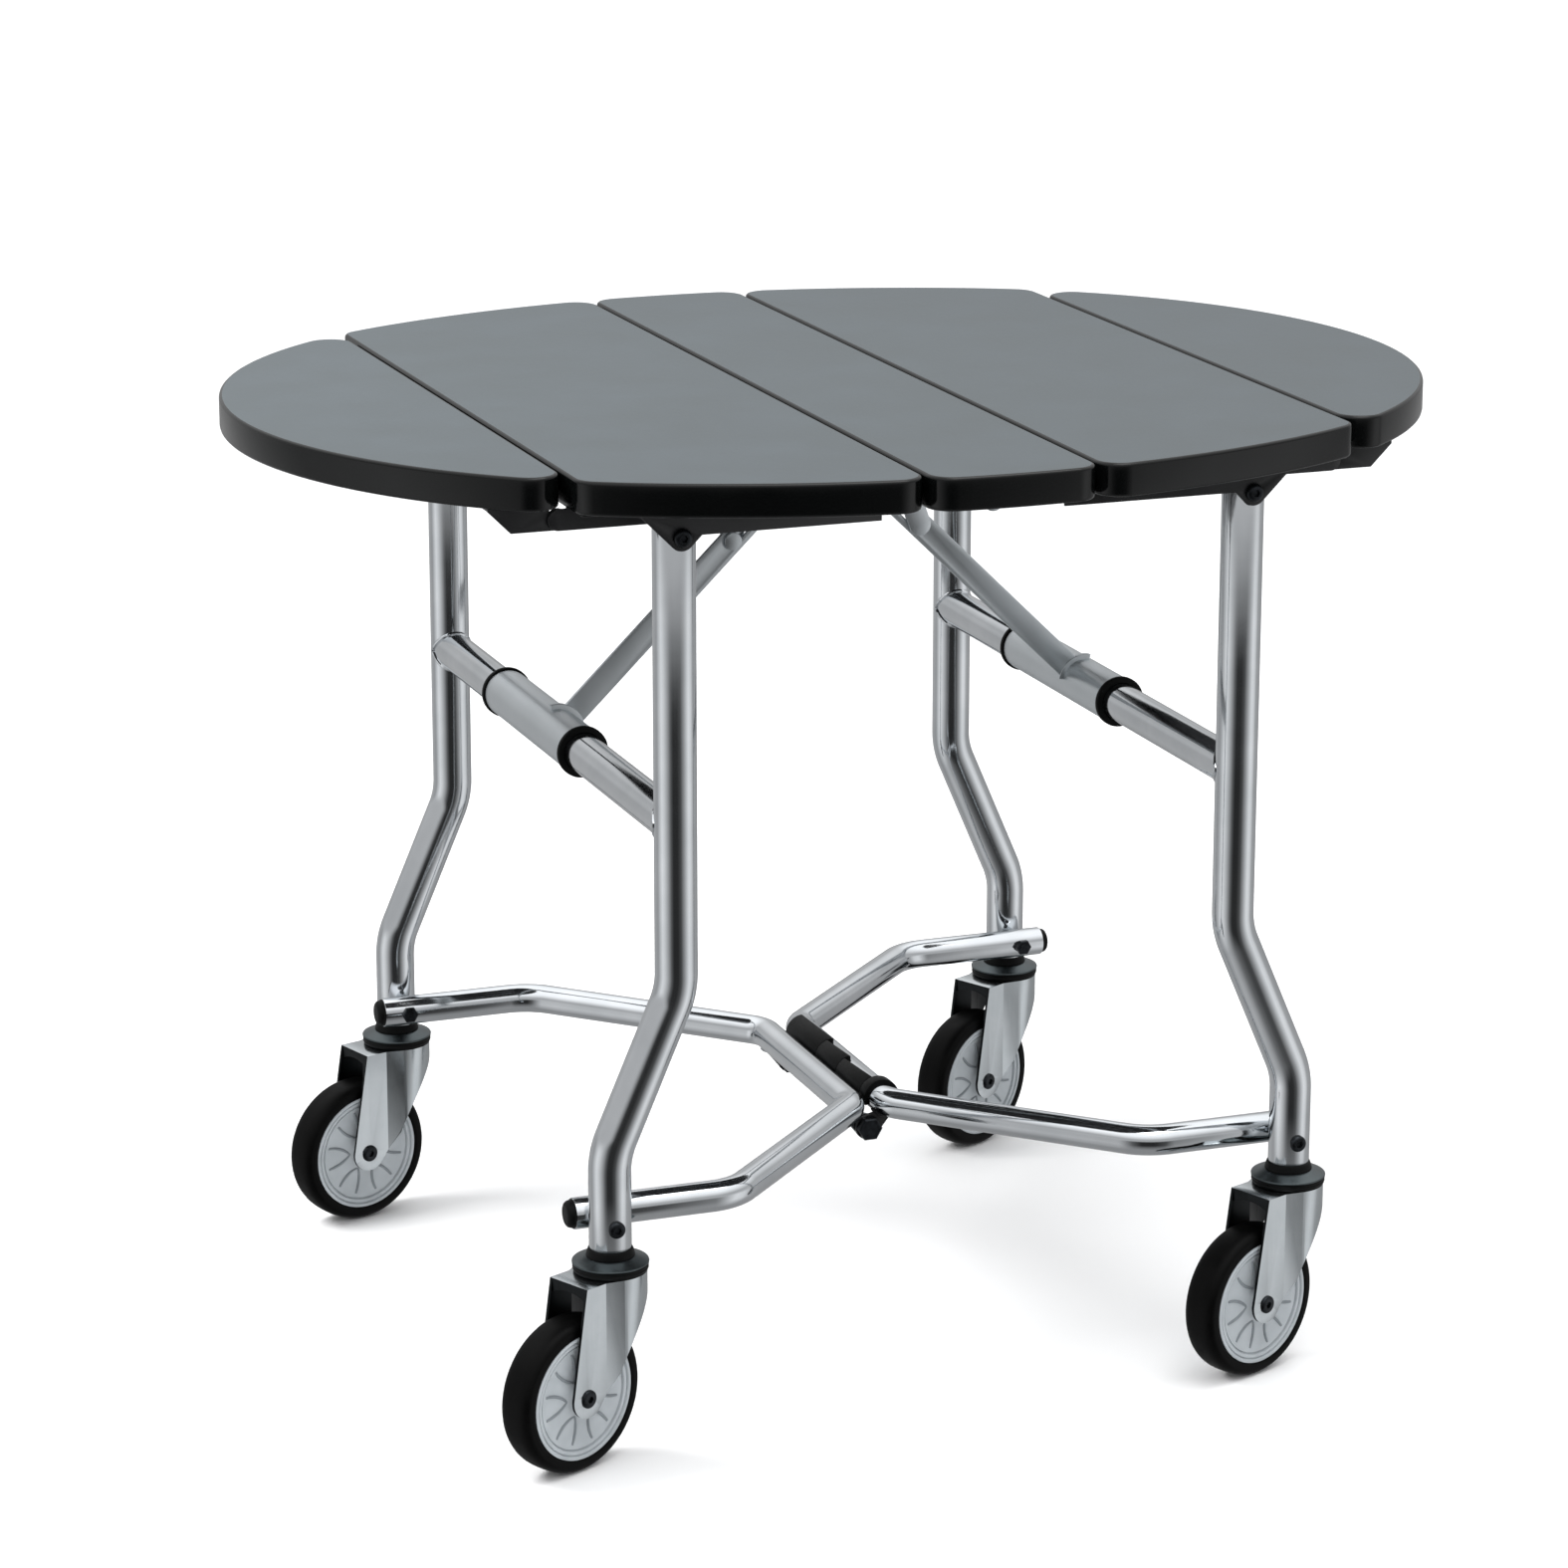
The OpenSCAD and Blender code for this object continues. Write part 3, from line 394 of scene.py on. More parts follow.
def softened(node, body, slotKeys, bevelMm, name=None, segments=2, limitDeg=38):
    # a merged copy of a CAD node's mesh with its pressed or cut edges rounded
    bm = bmesh.new()
    bm.from_mesh(cadNodes[node].data)
    bmesh.ops.remove_doubles(bm, verts=bm.verts, dist=1e-6)
    bmesh.ops.dissolve_limit(bm, angle_limit=radians(0.6), verts=bm.verts, edges=bm.edges)
    for face in bm.faces:
        face.material_index = 0
    sharp = [e for e in bm.edges if len(e.link_faces) == 2 and e.calc_face_angle(0) > radians(limitDeg)]
    bmesh.ops.bevel(bm, geom=sharp, offset=bevelMm / 1000, offset_type="OFFSET", segments=segments,
                    profile=0.5, affect="EDGES", clamp_overlap=True)
    bmesh.ops.triangulate(bm, faces=[f for f in bm.faces if len(f.verts) > 4])
    return finish(name or node + "_soft", bm, body, slotKeys, [node])


top = {
    "height": 750, "thick": 25, "length": 950, "width": 790, "arcStep": 23, "seamIn": 66, "seamOut": 306,
    "gap": 2.2, "cornerRadius": 20, "arris": 2.5, "bandEdge": 0.7,
}
endR = top["width"] / 2 - top["arcStep"]
endX = top["length"] / 2 - endR
sideR = (endX ** 2 + (top["width"] / 2) ** 2 - endR ** 2) / (2 * top["arcStep"])
sideY = sideR - top["width"] / 2
meetX = endX + endR * endX / sqrt(endX ** 2 + sideY ** 2)


def arcNormals(cx, cy, r, fromDeg, toDeg, stepDeg):
    # points of an arc, each with its outward normal
    steps = max(3, int(abs(toDeg - fromDeg) / stepDeg))
    return [(cx + r * cos(a), cy + r * sin(a), cos(a), sin(a)) for a in turnsOf(fromDeg, toDeg, steps)]


def boardOutline(x0, x1):
    # the half with positive Y from the left seam to the right one, then its mirror
    r = top["cornerRadius"]

    def arcOf(x):
        return (endX, 0, endR) if x > meetX else (0, -sideY, sideR)

    def corner(x, way):
        cx, cy, big = arcOf(x)
        return x + way * r, cy + sqrt((big - r) ** 2 - (x + way * r - cx) ** 2), cx, cy

    fx, fy, cx, cy = corner(x0, 1)
    first = degrees(atan2(fy - cy, fx - cx))
    half = arcNormals(fx, fy, r, 180, first, 6)
    if x1 is None:
        half += arcNormals(endX, 0, endR, first, 0, 1.2)[1:]
    else:
        gx, gy, dx, dy = corner(x1, -1)
        last = degrees(atan2(gy - dy, gx - dx))
        if x0 < meetX < x1:
            join = degrees(atan2(sideY, endX))
            half += arcNormals(0, -sideY, sideR, first, join, 1)[1:]
            half += arcNormals(endX, 0, endR, join, last, 1)[1:]
        else:
            half += arcNormals(0, -sideY, sideR, first, last, 1)[1:]
        half += arcNormals(gx, gy, r, last, 0, 6)[1:]
    mirrored = [(x, -y, nx, -ny) for x, y, nx, ny in reversed(half)]
    if x1 is None:
        mirrored = mirrored[1:]
    return half + mirrored


def makeBoard(name, body, x0, x1, flip, replaced):
    outline = boardOutline(x0, x1)
    bm = bmesh.new()
    a, low, high = top["arris"], top["height"] - top["thick"], top["height"]
    levels = [(a + top["bandEdge"], low), (a, low)]
    levels += [(a * (1 - sin(t)), low + a * (1 - cos(t))) for t in turnsOf(30, 90, 2)]
    levels += [(a * (1 - cos(t)), high - a * (1 - sin(t))) for t in turnsOf(0, 90, 3)]
    levels += [(a + top["bandEdge"], high)]
    rings = []
    for inset, z in levels:
        rings.append([mm(flip * (x - nx * inset), y - ny * inset, z) for x, y, nx, ny in outline])
    rows = [[bm.verts.new(p) for p in ring] for ring in rings]
    count = len(outline)
    for k in range(len(rows) - 1):
        band = 0 if k == 0 else 2 if k == len(rows) - 2 else 1
        for i in range(count):
            j = (i + 1) % count
            bm.faces.new((rows[k][i], rows[k][j], rows[k + 1][j], rows[k + 1][i])).material_index = band
    for row, band in ((rows[0], 0), (rows[-1], 2)):
        bm.faces.new(row).material_index = band
    bmesh.ops.triangulate(bm, faces=[f for f in bm.faces if len(f.verts) > 4])
    finish(name, bm, body, ["backer", "edge_black", "laminate"], replaced, creaseDeg=50, slotName="laminate")


seamHalf = top["gap"] / 2
makeBoard("topBoardCentre", "centre", -top["seamIn"] + seamHalf, top["seamIn"] - seamHalf, 1,
          ["centre_board", "centre_edge"])
for side, s in sides.items():
    makeBoard("topBoardWing_" + side, "wing_" + side, top["seamIn"] + seamHalf, top["seamOut"] - seamHalf, s,
              ["wing_board_" + side, "wing_edge_" + side])
    makeBoard("topBoardLeaf_" + side, "leaf_" + side, top["seamOut"] + seamHalf, None, s,
              ["leaf_board_" + side, "leaf_edge_" + side])
print("boards: 5")


under = {"pivotX": 225, "pivotZ": 702, "webIn": 271, "webOut": 305, "sheet": 2.5, "flangeZ": 722.5}
legBolt = {"flat": 6.0, "head": 4.0, "button": 7.0, "shank": 4, "from": -3, "to": 37}

softened("guide_plate", "centre", ["silver_paint"], 0.45)
softened("centre_hinges", "centre", ["zinc_plate"], 0.4)
for side in sides:
    softened("wing_lugs_" + side, "wing_" + side, ["zinc_plate"], 0.5)
    softened("leaf_arms_" + side, "leaf_" + side, ["black_steel"], 0.45)
    for end in ends:
        softened("rail_%s_%s" % (end, side), "wing_" + side, ["black_steel"], 0.5)


def makeLegBolts(side, s):
    # hexagon heads inside the rails, button heads with a socket on their outer webs
    bm = bmesh.new()
    x, z, shank = s * under["pivotX"], under["pivotZ"], legBolt["shank"]
    for e in ends.values():
        inner = axisMatrix(mm(x, e * (under["webIn"] - under["sheet"]), z), (0, -e, 0))
        hexHead(bm, inner, legBolt["flat"], legBolt["head"])
        outer = axisMatrix(mm(x, e * (under["webOut"] + under["sheet"]), z), (0, e, 0))
        button(bm, outer, legBolt["button"], legBolt["head"])
        pin(bm, axisMatrix(mm(x, e * under["webIn"], z), (0, e, 0)), shank, legBolt["from"], legBolt["to"])
    finish("legBolts_" + side, bm, "wing_" + side, ["bolt_black"], ["leg_bolts_" + side])


def pin(bm, matrix, radius, start, stop):
    lathe(bm, [(0, start), (radius, start), (radius, stop), (0, stop)], matrix, 32)


def button(bm, matrix, radius, height, socket=2.6):
    # a domed button head with a hexagon socket, closed right through
    segments = 36
    profile = [(radius, 0)]
    for k in range(7):
        t = radians(90 * k / 6)
        r = socket * 1.5 + (radius - socket * 1.5) * cos(t)
        profile.append((r, height * (0.25 + 0.75 * sin(t)) if k else height * 0.25))
    loops = roundRings(profile, matrix, segments)
    for h, scale in ((height, 1.0), (height - 0.3, 0.94), (height - 2.2, 0.9)):
        loop = []
        for i in range(segments):
            a = 2 * pi * i / segments
            r = socket / cos((a % (pi / 3)) - pi / 6) * scale
            loop.append(matrix @ mm(r * cos(a), r * sin(a), h))
        loops.append(loop)
    addRings(bm, loops)


for side, s in sides.items():
    makeLegBolts(side, s)


def startTree(name, values):
    # a tree with its named inputs, and what they give
    tree = bpy.data.node_groups.new(name, "GeometryNodeTree")
    tree.interface.new_socket("Geometry", in_out="INPUT", socket_type="NodeSocketGeometry")
    for label, value in values.items():
        kind = "NodeSocketInt" if isinstance(value, int) else "NodeSocketFloat"
        tree.interface.new_socket(label, in_out="INPUT", socket_type=kind).default_value = value
    tree.interface.new_socket("Finish", in_out="INPUT", socket_type="NodeSocketMaterial")
    tree.interface.new_socket("Geometry", in_out="OUTPUT", socket_type="NodeSocketGeometry")
    return tree, addNode(tree, "NodeGroupInput").outputs


def endTree(tree, instances, material):
    real = addNode(tree, "GeometryNodeRealizeInstances", Geometry=instances)
    dressed = addNode(tree, "GeometryNodeSetMaterial", Geometry=real.outputs["Geometry"], Material=material)
    addNode(tree, "NodeGroupOutput", Geometry=dressed.outputs["Geometry"])
    return tree


def onPoints(tree, points, instance, **more):
    placed = addNode(tree, "GeometryNodeInstanceOnPoints", Points=points, Instance=instance, **more)
    return placed.outputs["Instances"]


def screwTree():
    # a domed head with a cross recess, on each point
    tree, given = startTree("panHeadScrews", screwSizes)
    ratio = sumNode(tree, "DIVIDE", given["Head Height"], given["Head Radius"])
    dome = addNode(tree, "GeometryNodeMeshUVSphere", Segments=28, Rings=12, Radius=given["Head Radius"])
    head = addNode(tree, "GeometryNodeTransform", Geometry=dome.outputs["Mesh"],
                   Scale=vectorNode(tree, 1.0, 1.0, ratio))
    length = sumNode(tree, "MULTIPLY", given["Head Radius"], 1.15)
    lowered = vectorNode(tree, 0.0, 0.0, sumNode(tree, "MULTIPLY", given["Head Height"], -1.0))
    slotted = addNode(tree, "GeometryNodeMeshBoolean", {"operation": "DIFFERENCE"},
                      i0=head.outputs["Geometry"])
    for x, y in ((length, given["Slot Width"]), (given["Slot Width"], length)):
        bar = addNode(tree, "GeometryNodeMeshCube", Size=vectorNode(tree, x, y, given["Head Height"]))
        cut = addNode(tree, "GeometryNodeTransform", Geometry=bar.outputs["Mesh"], Translation=lowered)
        tree.links.new(cut.outputs["Geometry"], slotted.inputs[1])
    placed = onPoints(tree, given["Geometry"], slotted.outputs["Mesh"])
    return endTree(tree, placed, given["Finish"])


def fromTree(name, tree, points, values, finishKey):
    # runs a tree on loose points and returns the plain mesh
    start = bpy.data.meshes.new(name)
    start.from_pydata([tuple(p) for p in points], [], [])
    holder = addObject(name, start)
    modifier = holder.modifiers.new("tree", "NODES")
    modifier.node_group = tree
    named = {item.name: item.identifier for item in tree.interface.items_tree
             if item.item_type == "SOCKET" and item.in_out == "INPUT"}
    for label, value in values.items():
        modifier[named[label]] = value
    modifier[named["Finish"]] = mats[finishKey]
    return plainMesh(holder)


screws = {"rail": ((110, 165, 280), 288), "lug": (88, 180, 6.6), "leaf": ((330, 348), 256.5),
          "hinge": (42, 180, 7.6), "guide": ((30, 9), (50, 9)), "lift": 0.05}
screwSizes = {"Head Radius": 0.0036, "Head Height": 0.0021, "Slot Width": 0.0009}
screwsTree = screwTree()


def makeScrews(name, body, places):
    points = [mm(x, y, under["flangeZ"] + screws["lift"]) for x, y in places]
    mesh = fromTree(name, screwsTree, points, screwSizes, "zinc_plate")
    wear(name, mesh, body, ["zinc_plate"])
    return len(points)


def bothWays(x, y, across, s):
    # two screws beside each other at the front and at the back
    return [(s * x, e * (y + w * across)) for e in (-1, 1) for w in (-1, 1)]


def inRow(row, y, s):
    return [(s * x, e * y) for x in row for e in (-1, 1)]


screwCount = 0
for side, s in sides.items():
    rails, leaf = (inRow(*screws[key], s) for key in ("rail", "leaf"))
    screwCount += makeScrews("railScrews_" + side, "wing_" + side, rails + bothWays(*screws["lug"], s))
    screwCount += makeScrews("leafScrews_" + side, "leaf_" + side, leaf)
middle = [(a * x, b * y) for x, y in screws["guide"] for a in (-1, 1) for b in (-1, 1)]
middle += bothWays(*screws["hinge"], -1) + bothWays(*screws["hinge"], 1)
screwCount += makeScrews("centreScrews", "centre", middle)
print("screws:", screwCount)


legs = {"radius": 16, "wall": 1.5, "x": 225, "footX": 278, "y": 288, "topZ": 714, "bendHigh": 358,
        "bendLow": 236, "bendRadius": 65, "lowZ": 163.5, "barRadius": 15.4, "barZ": 484, "bead": 1.5,
        "sunk": 0.4, "barRings": (-0.2, 0.0, 0.2)}


def makeLegs(side, s):
    for end, e in ends.items():
        bm = bmesh.new()
        y = e * legs["y"]
        corners = [mm(s * legs["x"], y, legs["topZ"]), mm(s * legs["x"], y, legs["bendHigh"]),
                   mm(s * legs["footX"], y, legs["bendLow"]), mm(s * legs["footX"], y, legs["lowZ"])]
        path = bentPath(corners, [legs["bendRadius"] / 1000] * 2, 1.5)
        sweep(bm, path, legs["radius"], (0, 1, 0), segments=64, wallMm=legs["wall"])
        name = "%s_%s" % (end, side)
        finish("legTube_" + name, bm, "legs_" + side, ["chrome_tube"], ["leg_" + name])


def saddle(s, end, radius, shift, segments=64):
    # the line where a bar of that radius meets the leg, drawn back from it by the shift
    ring = []
    for i in range(segments):
        a = 2 * pi * i / segments
        dx, dz = radius * cos(a), radius * sin(a)
        reach = legs["y"] - sqrt(legs["radius"] ** 2 - dx ** 2) + shift(i)
        ring.append(mm(s * legs["x"] + dx, end * reach, legs["barZ"] + dz))
    return ring


def makeCrossbar(side, s):
    # the bar and the weld bead that follows its saddle on each leg
    bm = bmesh.new()
    r, sunk = legs["barRadius"], legs["sunk"]
    front, back = (saddle(s, end, r, lambda i: sunk) for end in (-1, 1))
    middle = [[Vector((p.x, y, p.z)) for p in front] for y in legs["barRings"]]
    addRings(bm, [front] + middle + [back])
    for end in (-1, 1):
        bead = saddle(s, end, r + sunk, lambda i: 0.22 * sin(i * 2.1) + 0.15 * sin(i * 3.7) - 0.3)
        sweep(bm, bead, legs["bead"], (0, 1, 0), segments=10, closed=True)
    finish("crossbarTube_" + side, bm, "legs_" + side, ["chrome_tube"], ["crossbar_" + side])


stopRing = {"outer": 20.4, "inner": 15.4, "width": 5, "front": -71.3, "back": 126.3, "round": 1.2}


def makeStopRings(side, s):
    bm = bmesh.new()
    for y in (stopRing["front"], stopRing["back"]):
        place = axisMatrix(mm(s * legs["x"], y, legs["barZ"]), (0, 1, 0))
        a, b, w, q = stopRing["inner"], stopRing["outer"], stopRing["width"], stopRing["round"]
        profile = [(a, 0.4), (a + 0.4, 0), (b - q, 0), (b - q * 0.3, q * 0.3), (b, q), (b, w - q),
                   (b - q * 0.3, w - q * 0.3), (b - q, w), (a + 0.4, w), (a, w - 0.4)]
        turnedRing(bm, profile, place, 56)
    finish("stopRings_" + side, bm, "legs_" + side, ["black_plastic"], ["stop_rings_" + side])


for side, s in sides.items():
    makeLegs(side, s)
    makeCrossbar(side, s)
    makeStopRings(side, s)
print("legs: 4, crossbars: 2")


stay = {"sleeve": 18.8, "bore": 15.8, "front": -66, "back": 126, "strapWide": 20, "strapThick": 3.5,
        "strapY": 2.0, "studX": 79.95, "studZ": 625.4, "slotNear": 202.6, "slotFar": 316.7, "slotHalf": 4.35,
        "saddle": 22.5, "hub": 15.0, "proud": 0.6}
stayTilt = atan2(stay["studZ"] - legs["barZ"], legs["x"] - stay["studX"])


def makeStay(side, s):
    bm = bmesh.new()
    place = axisMatrix(mm(s * legs["x"], stay["front"], legs["barZ"]), (0, 1, 0))
    w, a, b = stay["back"] - stay["front"], stay["bore"], stay["sleeve"]
    profile = [(a, 0.4), (a + 0.4, 0), (b - 0.6, 0), (b, 0.6), (b, w / 2), (b, w - 0.6), (b - 0.6, w),
               (a + 0.4, w), (a, w - 0.4)]
    turnedRing(bm, profile, place, 72)
    # the strap's own plane: x runs from the crossbar's axis to the stud, z away from the table's middle line
    along, away = Vector((-s * cos(stayTilt), 0, sin(stayTilt))), Vector((0, s, 0))
    basis = Matrix((along, away.cross(along), away)).transposed().to_4x4()
    flat = shifted(s * legs["x"], s * stay["strapY"], legs["barZ"]) @ basis
    thick, h = stay["strapThick"], stay["slotHalf"]
    half, root = stay["strapWide"] / 2, stay["hub"]
    outline = [(root, -half)] + arcPoints(stay["slotFar"], 0, half, -90, 90, 20) + [(root, half)]
    slotHole = arcPoints(stay["slotNear"], 0, h, 90, 270, 14) + arcPoints(stay["slotFar"], 0, h, -90, 90, 14)
    cutPlate(bm, [outline, slotHole], thick, flat, bevel=0.5)
    # the strap's root, a little thicker, that wraps the sleeve
    wing, proud = [(0, 0)] + arcPoints(0, 0, stay["saddle"], -35, 60, 20), stay["proud"]
    cutPlate(bm, [wing], thick + 2 * proud, flat @ shifted(0, 0, -proud), bevel=0.5)
    finish("staySleeve_" + side, bm, "stay_" + side, ["silver_paint"], ["stay_" + side])


for side, s in sides.items():
    makeStay(side, s)
print("stays: 2")


foot = {"collarTop": 163.5, "collarLow": 157.5, "crown": 146, "sealTop": 152.2, "cap": 29, "boltZ": 182}


def makeFeet(side, s):
    bm = bmesh.new()
    black = bmesh.new()
    seal, cap, crown = foot["sealTop"], foot["cap"], foot["crown"]
    top0, low0 = foot["collarTop"], foot["collarLow"]
    for e in ends.values():
        place = shifted(s * legs["footX"], e * legs["y"], 0)
        # spun cap: rolled rim, then a dome up to the collar
        lathe(bm, [(0, seal), (cap - 0.7, seal), (cap - 0.1, seal + 0.3), (cap, seal + 0.9),
                   (cap - 0.3, seal + 1.5), (cap - 1.4, seal + 2.0), (cap - 3.4, seal + 2.7),
                   (cap - 6.2, seal + 3.7), (cap - 8.8, seal + 4.7), (19.0, low0 - 0.15), (18.0, low0),
                   (0, low0)], place, 80)
        # swivel pin with its head under the fork's crown
        lathe(bm, [(0, crown - 6.4), (8.2, crown - 6.4), (9, crown - 5.6), (9, crown - 2.8),
                   (5.9, crown - 2.8), (5.9, seal + 0.5), (0, seal + 0.5)], place, 48)
        # moulded collar at the tube's end, and the ribbed seal under the cap
        lathe(black, [(0, low0 - 0.2), (18.1, low0 - 0.2), (18.4, low0 + 0.4), (18.2, low0 + 1.6),
                      (17.4, low0 + 4.2), (16.9, top0 - 0.3), (16.4, top0), (0, top0)], place, 72)
        lathe(black, [(0, crown + 0.3), (cap - 2.0, crown + 0.3), (cap - 0.9, crown + 1.2),
                      (cap - 0.4, crown + 2.6), (cap - 0.9, crown + 3.7), (cap - 0.3, crown + 5.0),
                      (cap - 0.5, seal - 0.1), (0, seal - 0.1)], place, 72)
    finish("dustCaps_" + side, bm, "legs_" + side, ["cap_steel"], ["stems_" + side])
    finish("collarsAndSeals_" + side, black, "legs_" + side, ["black_plastic"], ["collars_" + side])


# along the bolt, from the leg's middle outwards
footBolt = {"radius": 4, "inner": -46, "outer": 16.5, "seat": 15.6, "button": 6.5, "height": 3.4,
            "washerAt": -16.8, "washer": 8, "hexAt": -41.3, "flat": 6.0, "head": 4.0}


def makeFootBolts(side, s):
    bm = bmesh.new()
    w, r = footBolt["washerAt"], footBolt["washer"]
    for e in ends.values():
        start = shifted(s * legs["footX"], e * legs["y"], foot["boltZ"])
        outward = start @ axisMatrix((0, 0, 0), (0, e, 0))
        pin(bm, outward, footBolt["radius"], footBolt["inner"], footBolt["outer"])
        button(bm, outward @ shifted(0, 0, footBolt["seat"]), footBolt["button"], footBolt["height"])
        lathe(bm, [(0, w), (r - 0.6, w), (r, w + 0.4), (r, w + 1.2), (r - 0.6, w + 1.6), (0, w + 1.6)],
              outward, 40)
        inner = start @ axisMatrix((0, 0, 0), (0, -e, 0)) @ shifted(0, 0, -footBolt["hexAt"])
        hexHead(bm, inner, footBolt["flat"], footBolt["head"])
    finish("footBolts_" + side, bm, "legs_" + side, ["bolt_black"], ["foot_bolts_" + side])


for side, s in sides.items():
    makeFeet(side, s)
    makeFootBolts(side, s)
print("leg ends: 4")


lower = {"radius": 12, "wall": 1.5, "z": 182, "inX": 15, "outX": 170, "run": 102.5, "endX": 298, "y": 259,
         "bends": (45, 26, 26, 45), "rodZ": 162, "lugThick": 3, "lugRadius": 10.2, "lugY": (-99, 80),
         "eye": 8.6, "plugLong": 6, "lugGap": 0.5, "weld": 1.0, "weldReach": 12.3}
rod = {"radius": 6, "long": 188.2, "behind": 2, "flat": 8.66, "head": 7.0, "washer": 9.5}


def lowerPath(s):
    run = [(lower["endX"], lower["y"]), (lower["outX"], lower["y"]), (lower["inX"], lower["run"]),
           (lower["inX"], -lower["run"]), (lower["outX"], -lower["y"]), (lower["endX"], -lower["y"])]
    return bentPath([mm(s * x, y, lower["z"]) for x, y in run], [b / 1000 for b in lower["bends"]], 3)


def lugOutline(s):
    # tangent from the tube's underside round the eye; x is along X and y along Z
    x, z = lower["inX"], lower["z"]
    points = arcPoints(0, lower["rodZ"], lower["lugRadius"], 125, 305, 28)
    points += [(x + 9.5, z - 5.5), (x + 2, z - 2), (x - 6, z - 7)]
    return [(s * px, py) for px, py in points][::s]


def makeLowerFrame(side, s):
    bm = bmesh.new()
    sweep(bm, lowerPath(s), lower["radius"], (0, 0, 1), segments=56, wallMm=lower["wall"])
    step = 0 if s > 0 else lower["lugThick"] + lower["lugGap"]
    hole = arcPoints(0, lower["rodZ"], lower["eye"] if s < 0 else rod["radius"], 0, 360, 32)[:-1]
    # the right frame's lugs are black, the left one's are chromed with its tube
    dark = 1 if s > 0 else 0
    reach = lower["weldReach"]
    for y in lower["lugY"]:
        turn = Matrix.Rotation(radians(90), 4, "X")
        place = shifted(0, y + step + lower["lugThick"], 0) @ turn
        cutPlate(bm, [lugOutline(s), hole], lower["lugThick"], place, dark, bevel=0.4)
        # fillet weld between the lug and the tube
        for face in (0, lower["lugThick"]):
            weld = [mm(s * (lower["inX"] + reach * cos(a)), y + step + face, lower["z"] + reach * sin(a))
                    for a in map(radians, range(208, 318, 8))]
            sweep(bm, weld, lower["weld"], (0, 1, 0), dark, segments=8)
    finish("lowerTube_" + side, bm, "lower_" + side, ["chrome_tube", "black_steel"], ["lower_frame_" + side])


def makePlugs(side, s):
    bm = bmesh.new()
    for e in ends.values():
        place = axisMatrix(mm(s * lower["endX"], e * lower["y"], lower["z"]), (s, 0, 0))
        long = lower["plugLong"]
        nose = [(10.5 - 4 * (1 - cos(a)), long - 4 + 4 * sin(a)) for a in turnsOf(0, 90, 5)]
        shank = [(0, -8), (10.1, -8), (10.4, -7.6), (10.4, -0.1), (11.2, 0.1), (11.3, 0.7), (10.7, 1.1)]
        lathe(bm, shank + nose + [(0, long)], place, 56)
    finish("endPlugs_" + side, bm, "lower_" + side, ["black_plastic"], ["end_plugs_" + side])


def makeCentreRod():
    bm = bmesh.new()
    r, long, w = rod["radius"], rod["long"], rod["washer"]
    place = axisMatrix(mm(0, lower["lugY"][0] - rod["behind"], lower["rodZ"]), (0, 1, 0))
    lathe(bm, [(0, 0), (r, 0), (r, long - 2), (r - 0.6, long), (0, long)], place, 40)
    for y in lower["lugY"]:
        head = axisMatrix(mm(0, y, lower["rodZ"]), (0, -1, 0))
        hexHead(bm, head, rod["flat"], rod["head"], 1.0)
        lathe(bm, [(0, 0.01), (w - 0.3, 0.01), (w, 0.3), (w, 0.9), (0, 0.9)], head, 40)
    finish("centrePivotBolts", bm, "lower_right", ["bolt_black"], ["centre_rod"])


# front and back end of each strip, and the angle round the tube where it starts at either end
bumperForm = {"grip": 3.0, "edge": 0.7, "ease": 0.4, "stop": 190, "clip": (-90, -78, -60, -60),
              "clipStop": 200, "strips": ((-78, -24, 104, 116), (-24, 22, 96, 106), (22, 91, 84, 92))}


def makeBumper():
    # a rubber strip in three steps on the right frame's centre run, and the clip that holds its front end
    bm = bmesh.new()
    r, g, edge, ease = lower["radius"], bumperForm["grip"], bumperForm["edge"], bumperForm["ease"]
    steps = 24
    for y0, y1, startFront, startBack in bumperForm["strips"] + (bumperForm["clip"],):
        stopDeg = bumperForm["clipStop"] if startFront < 0 else bumperForm["stop"]
        rings = []
        for y, rise in ((y0, g - edge), (y0 + 0.2, g - 0.2), (y0 + edge, g), (y1 - edge, g),
                        (y1 - 0.2, g - 0.2), (y1, g - edge)):
            start = startFront + (startBack - startFront) * (y - y0) / (y1 - y0)
            angles = turnsOf(start, stopDeg, steps)
            ring = []
            for k, a in enumerate(angles):
                high = r + rise - (ease if k in (0, steps) else 0)
                ring.append(mm(lower["inX"] + high * cos(a), y, lower["z"] + high * sin(a)))
            ring += [mm(lower["inX"] + r * cos(a), y, lower["z"] + r * sin(a)) for a in reversed(angles)]
            rings.append(ring)
        addRings(bm, rings)
    finish("bumperStrip", bm, "lower_right", ["black_plastic"], ["bumper"])


for side, s in sides.items():
    makeLowerFrame(side, s)
    makePlugs(side, s)
makeCentreRod()
makeBumper()
print("lower frames: 2")


caster = {"trail": 42.6, "axleZ": 60}
wheelTurn = {("front", "left"): 25.8, ("front", "right"): 22.4, ("back", "left"): 17.8,
             ("back", "right"): 27.0}
forkForm = {"bevel": 0.9, "lipX": -30, "facing": 0.6, "underCrown": 130, "inner": 25.6, "foldDeg": (14, 34),
            "upright": 0.9}
# each petal is a pair of bowed ribs that part from one point near the boss; the face is the disc's, in mm
petals = {"Count": 6, "Inner Radius": 0.0155, "Middle Radius": 0.022, "Outer Radius": 0.036, "Bow": 0.0078,
          "Spread": 0.0092, "Rib Radius": 0.0012}
petalFace = 11.6


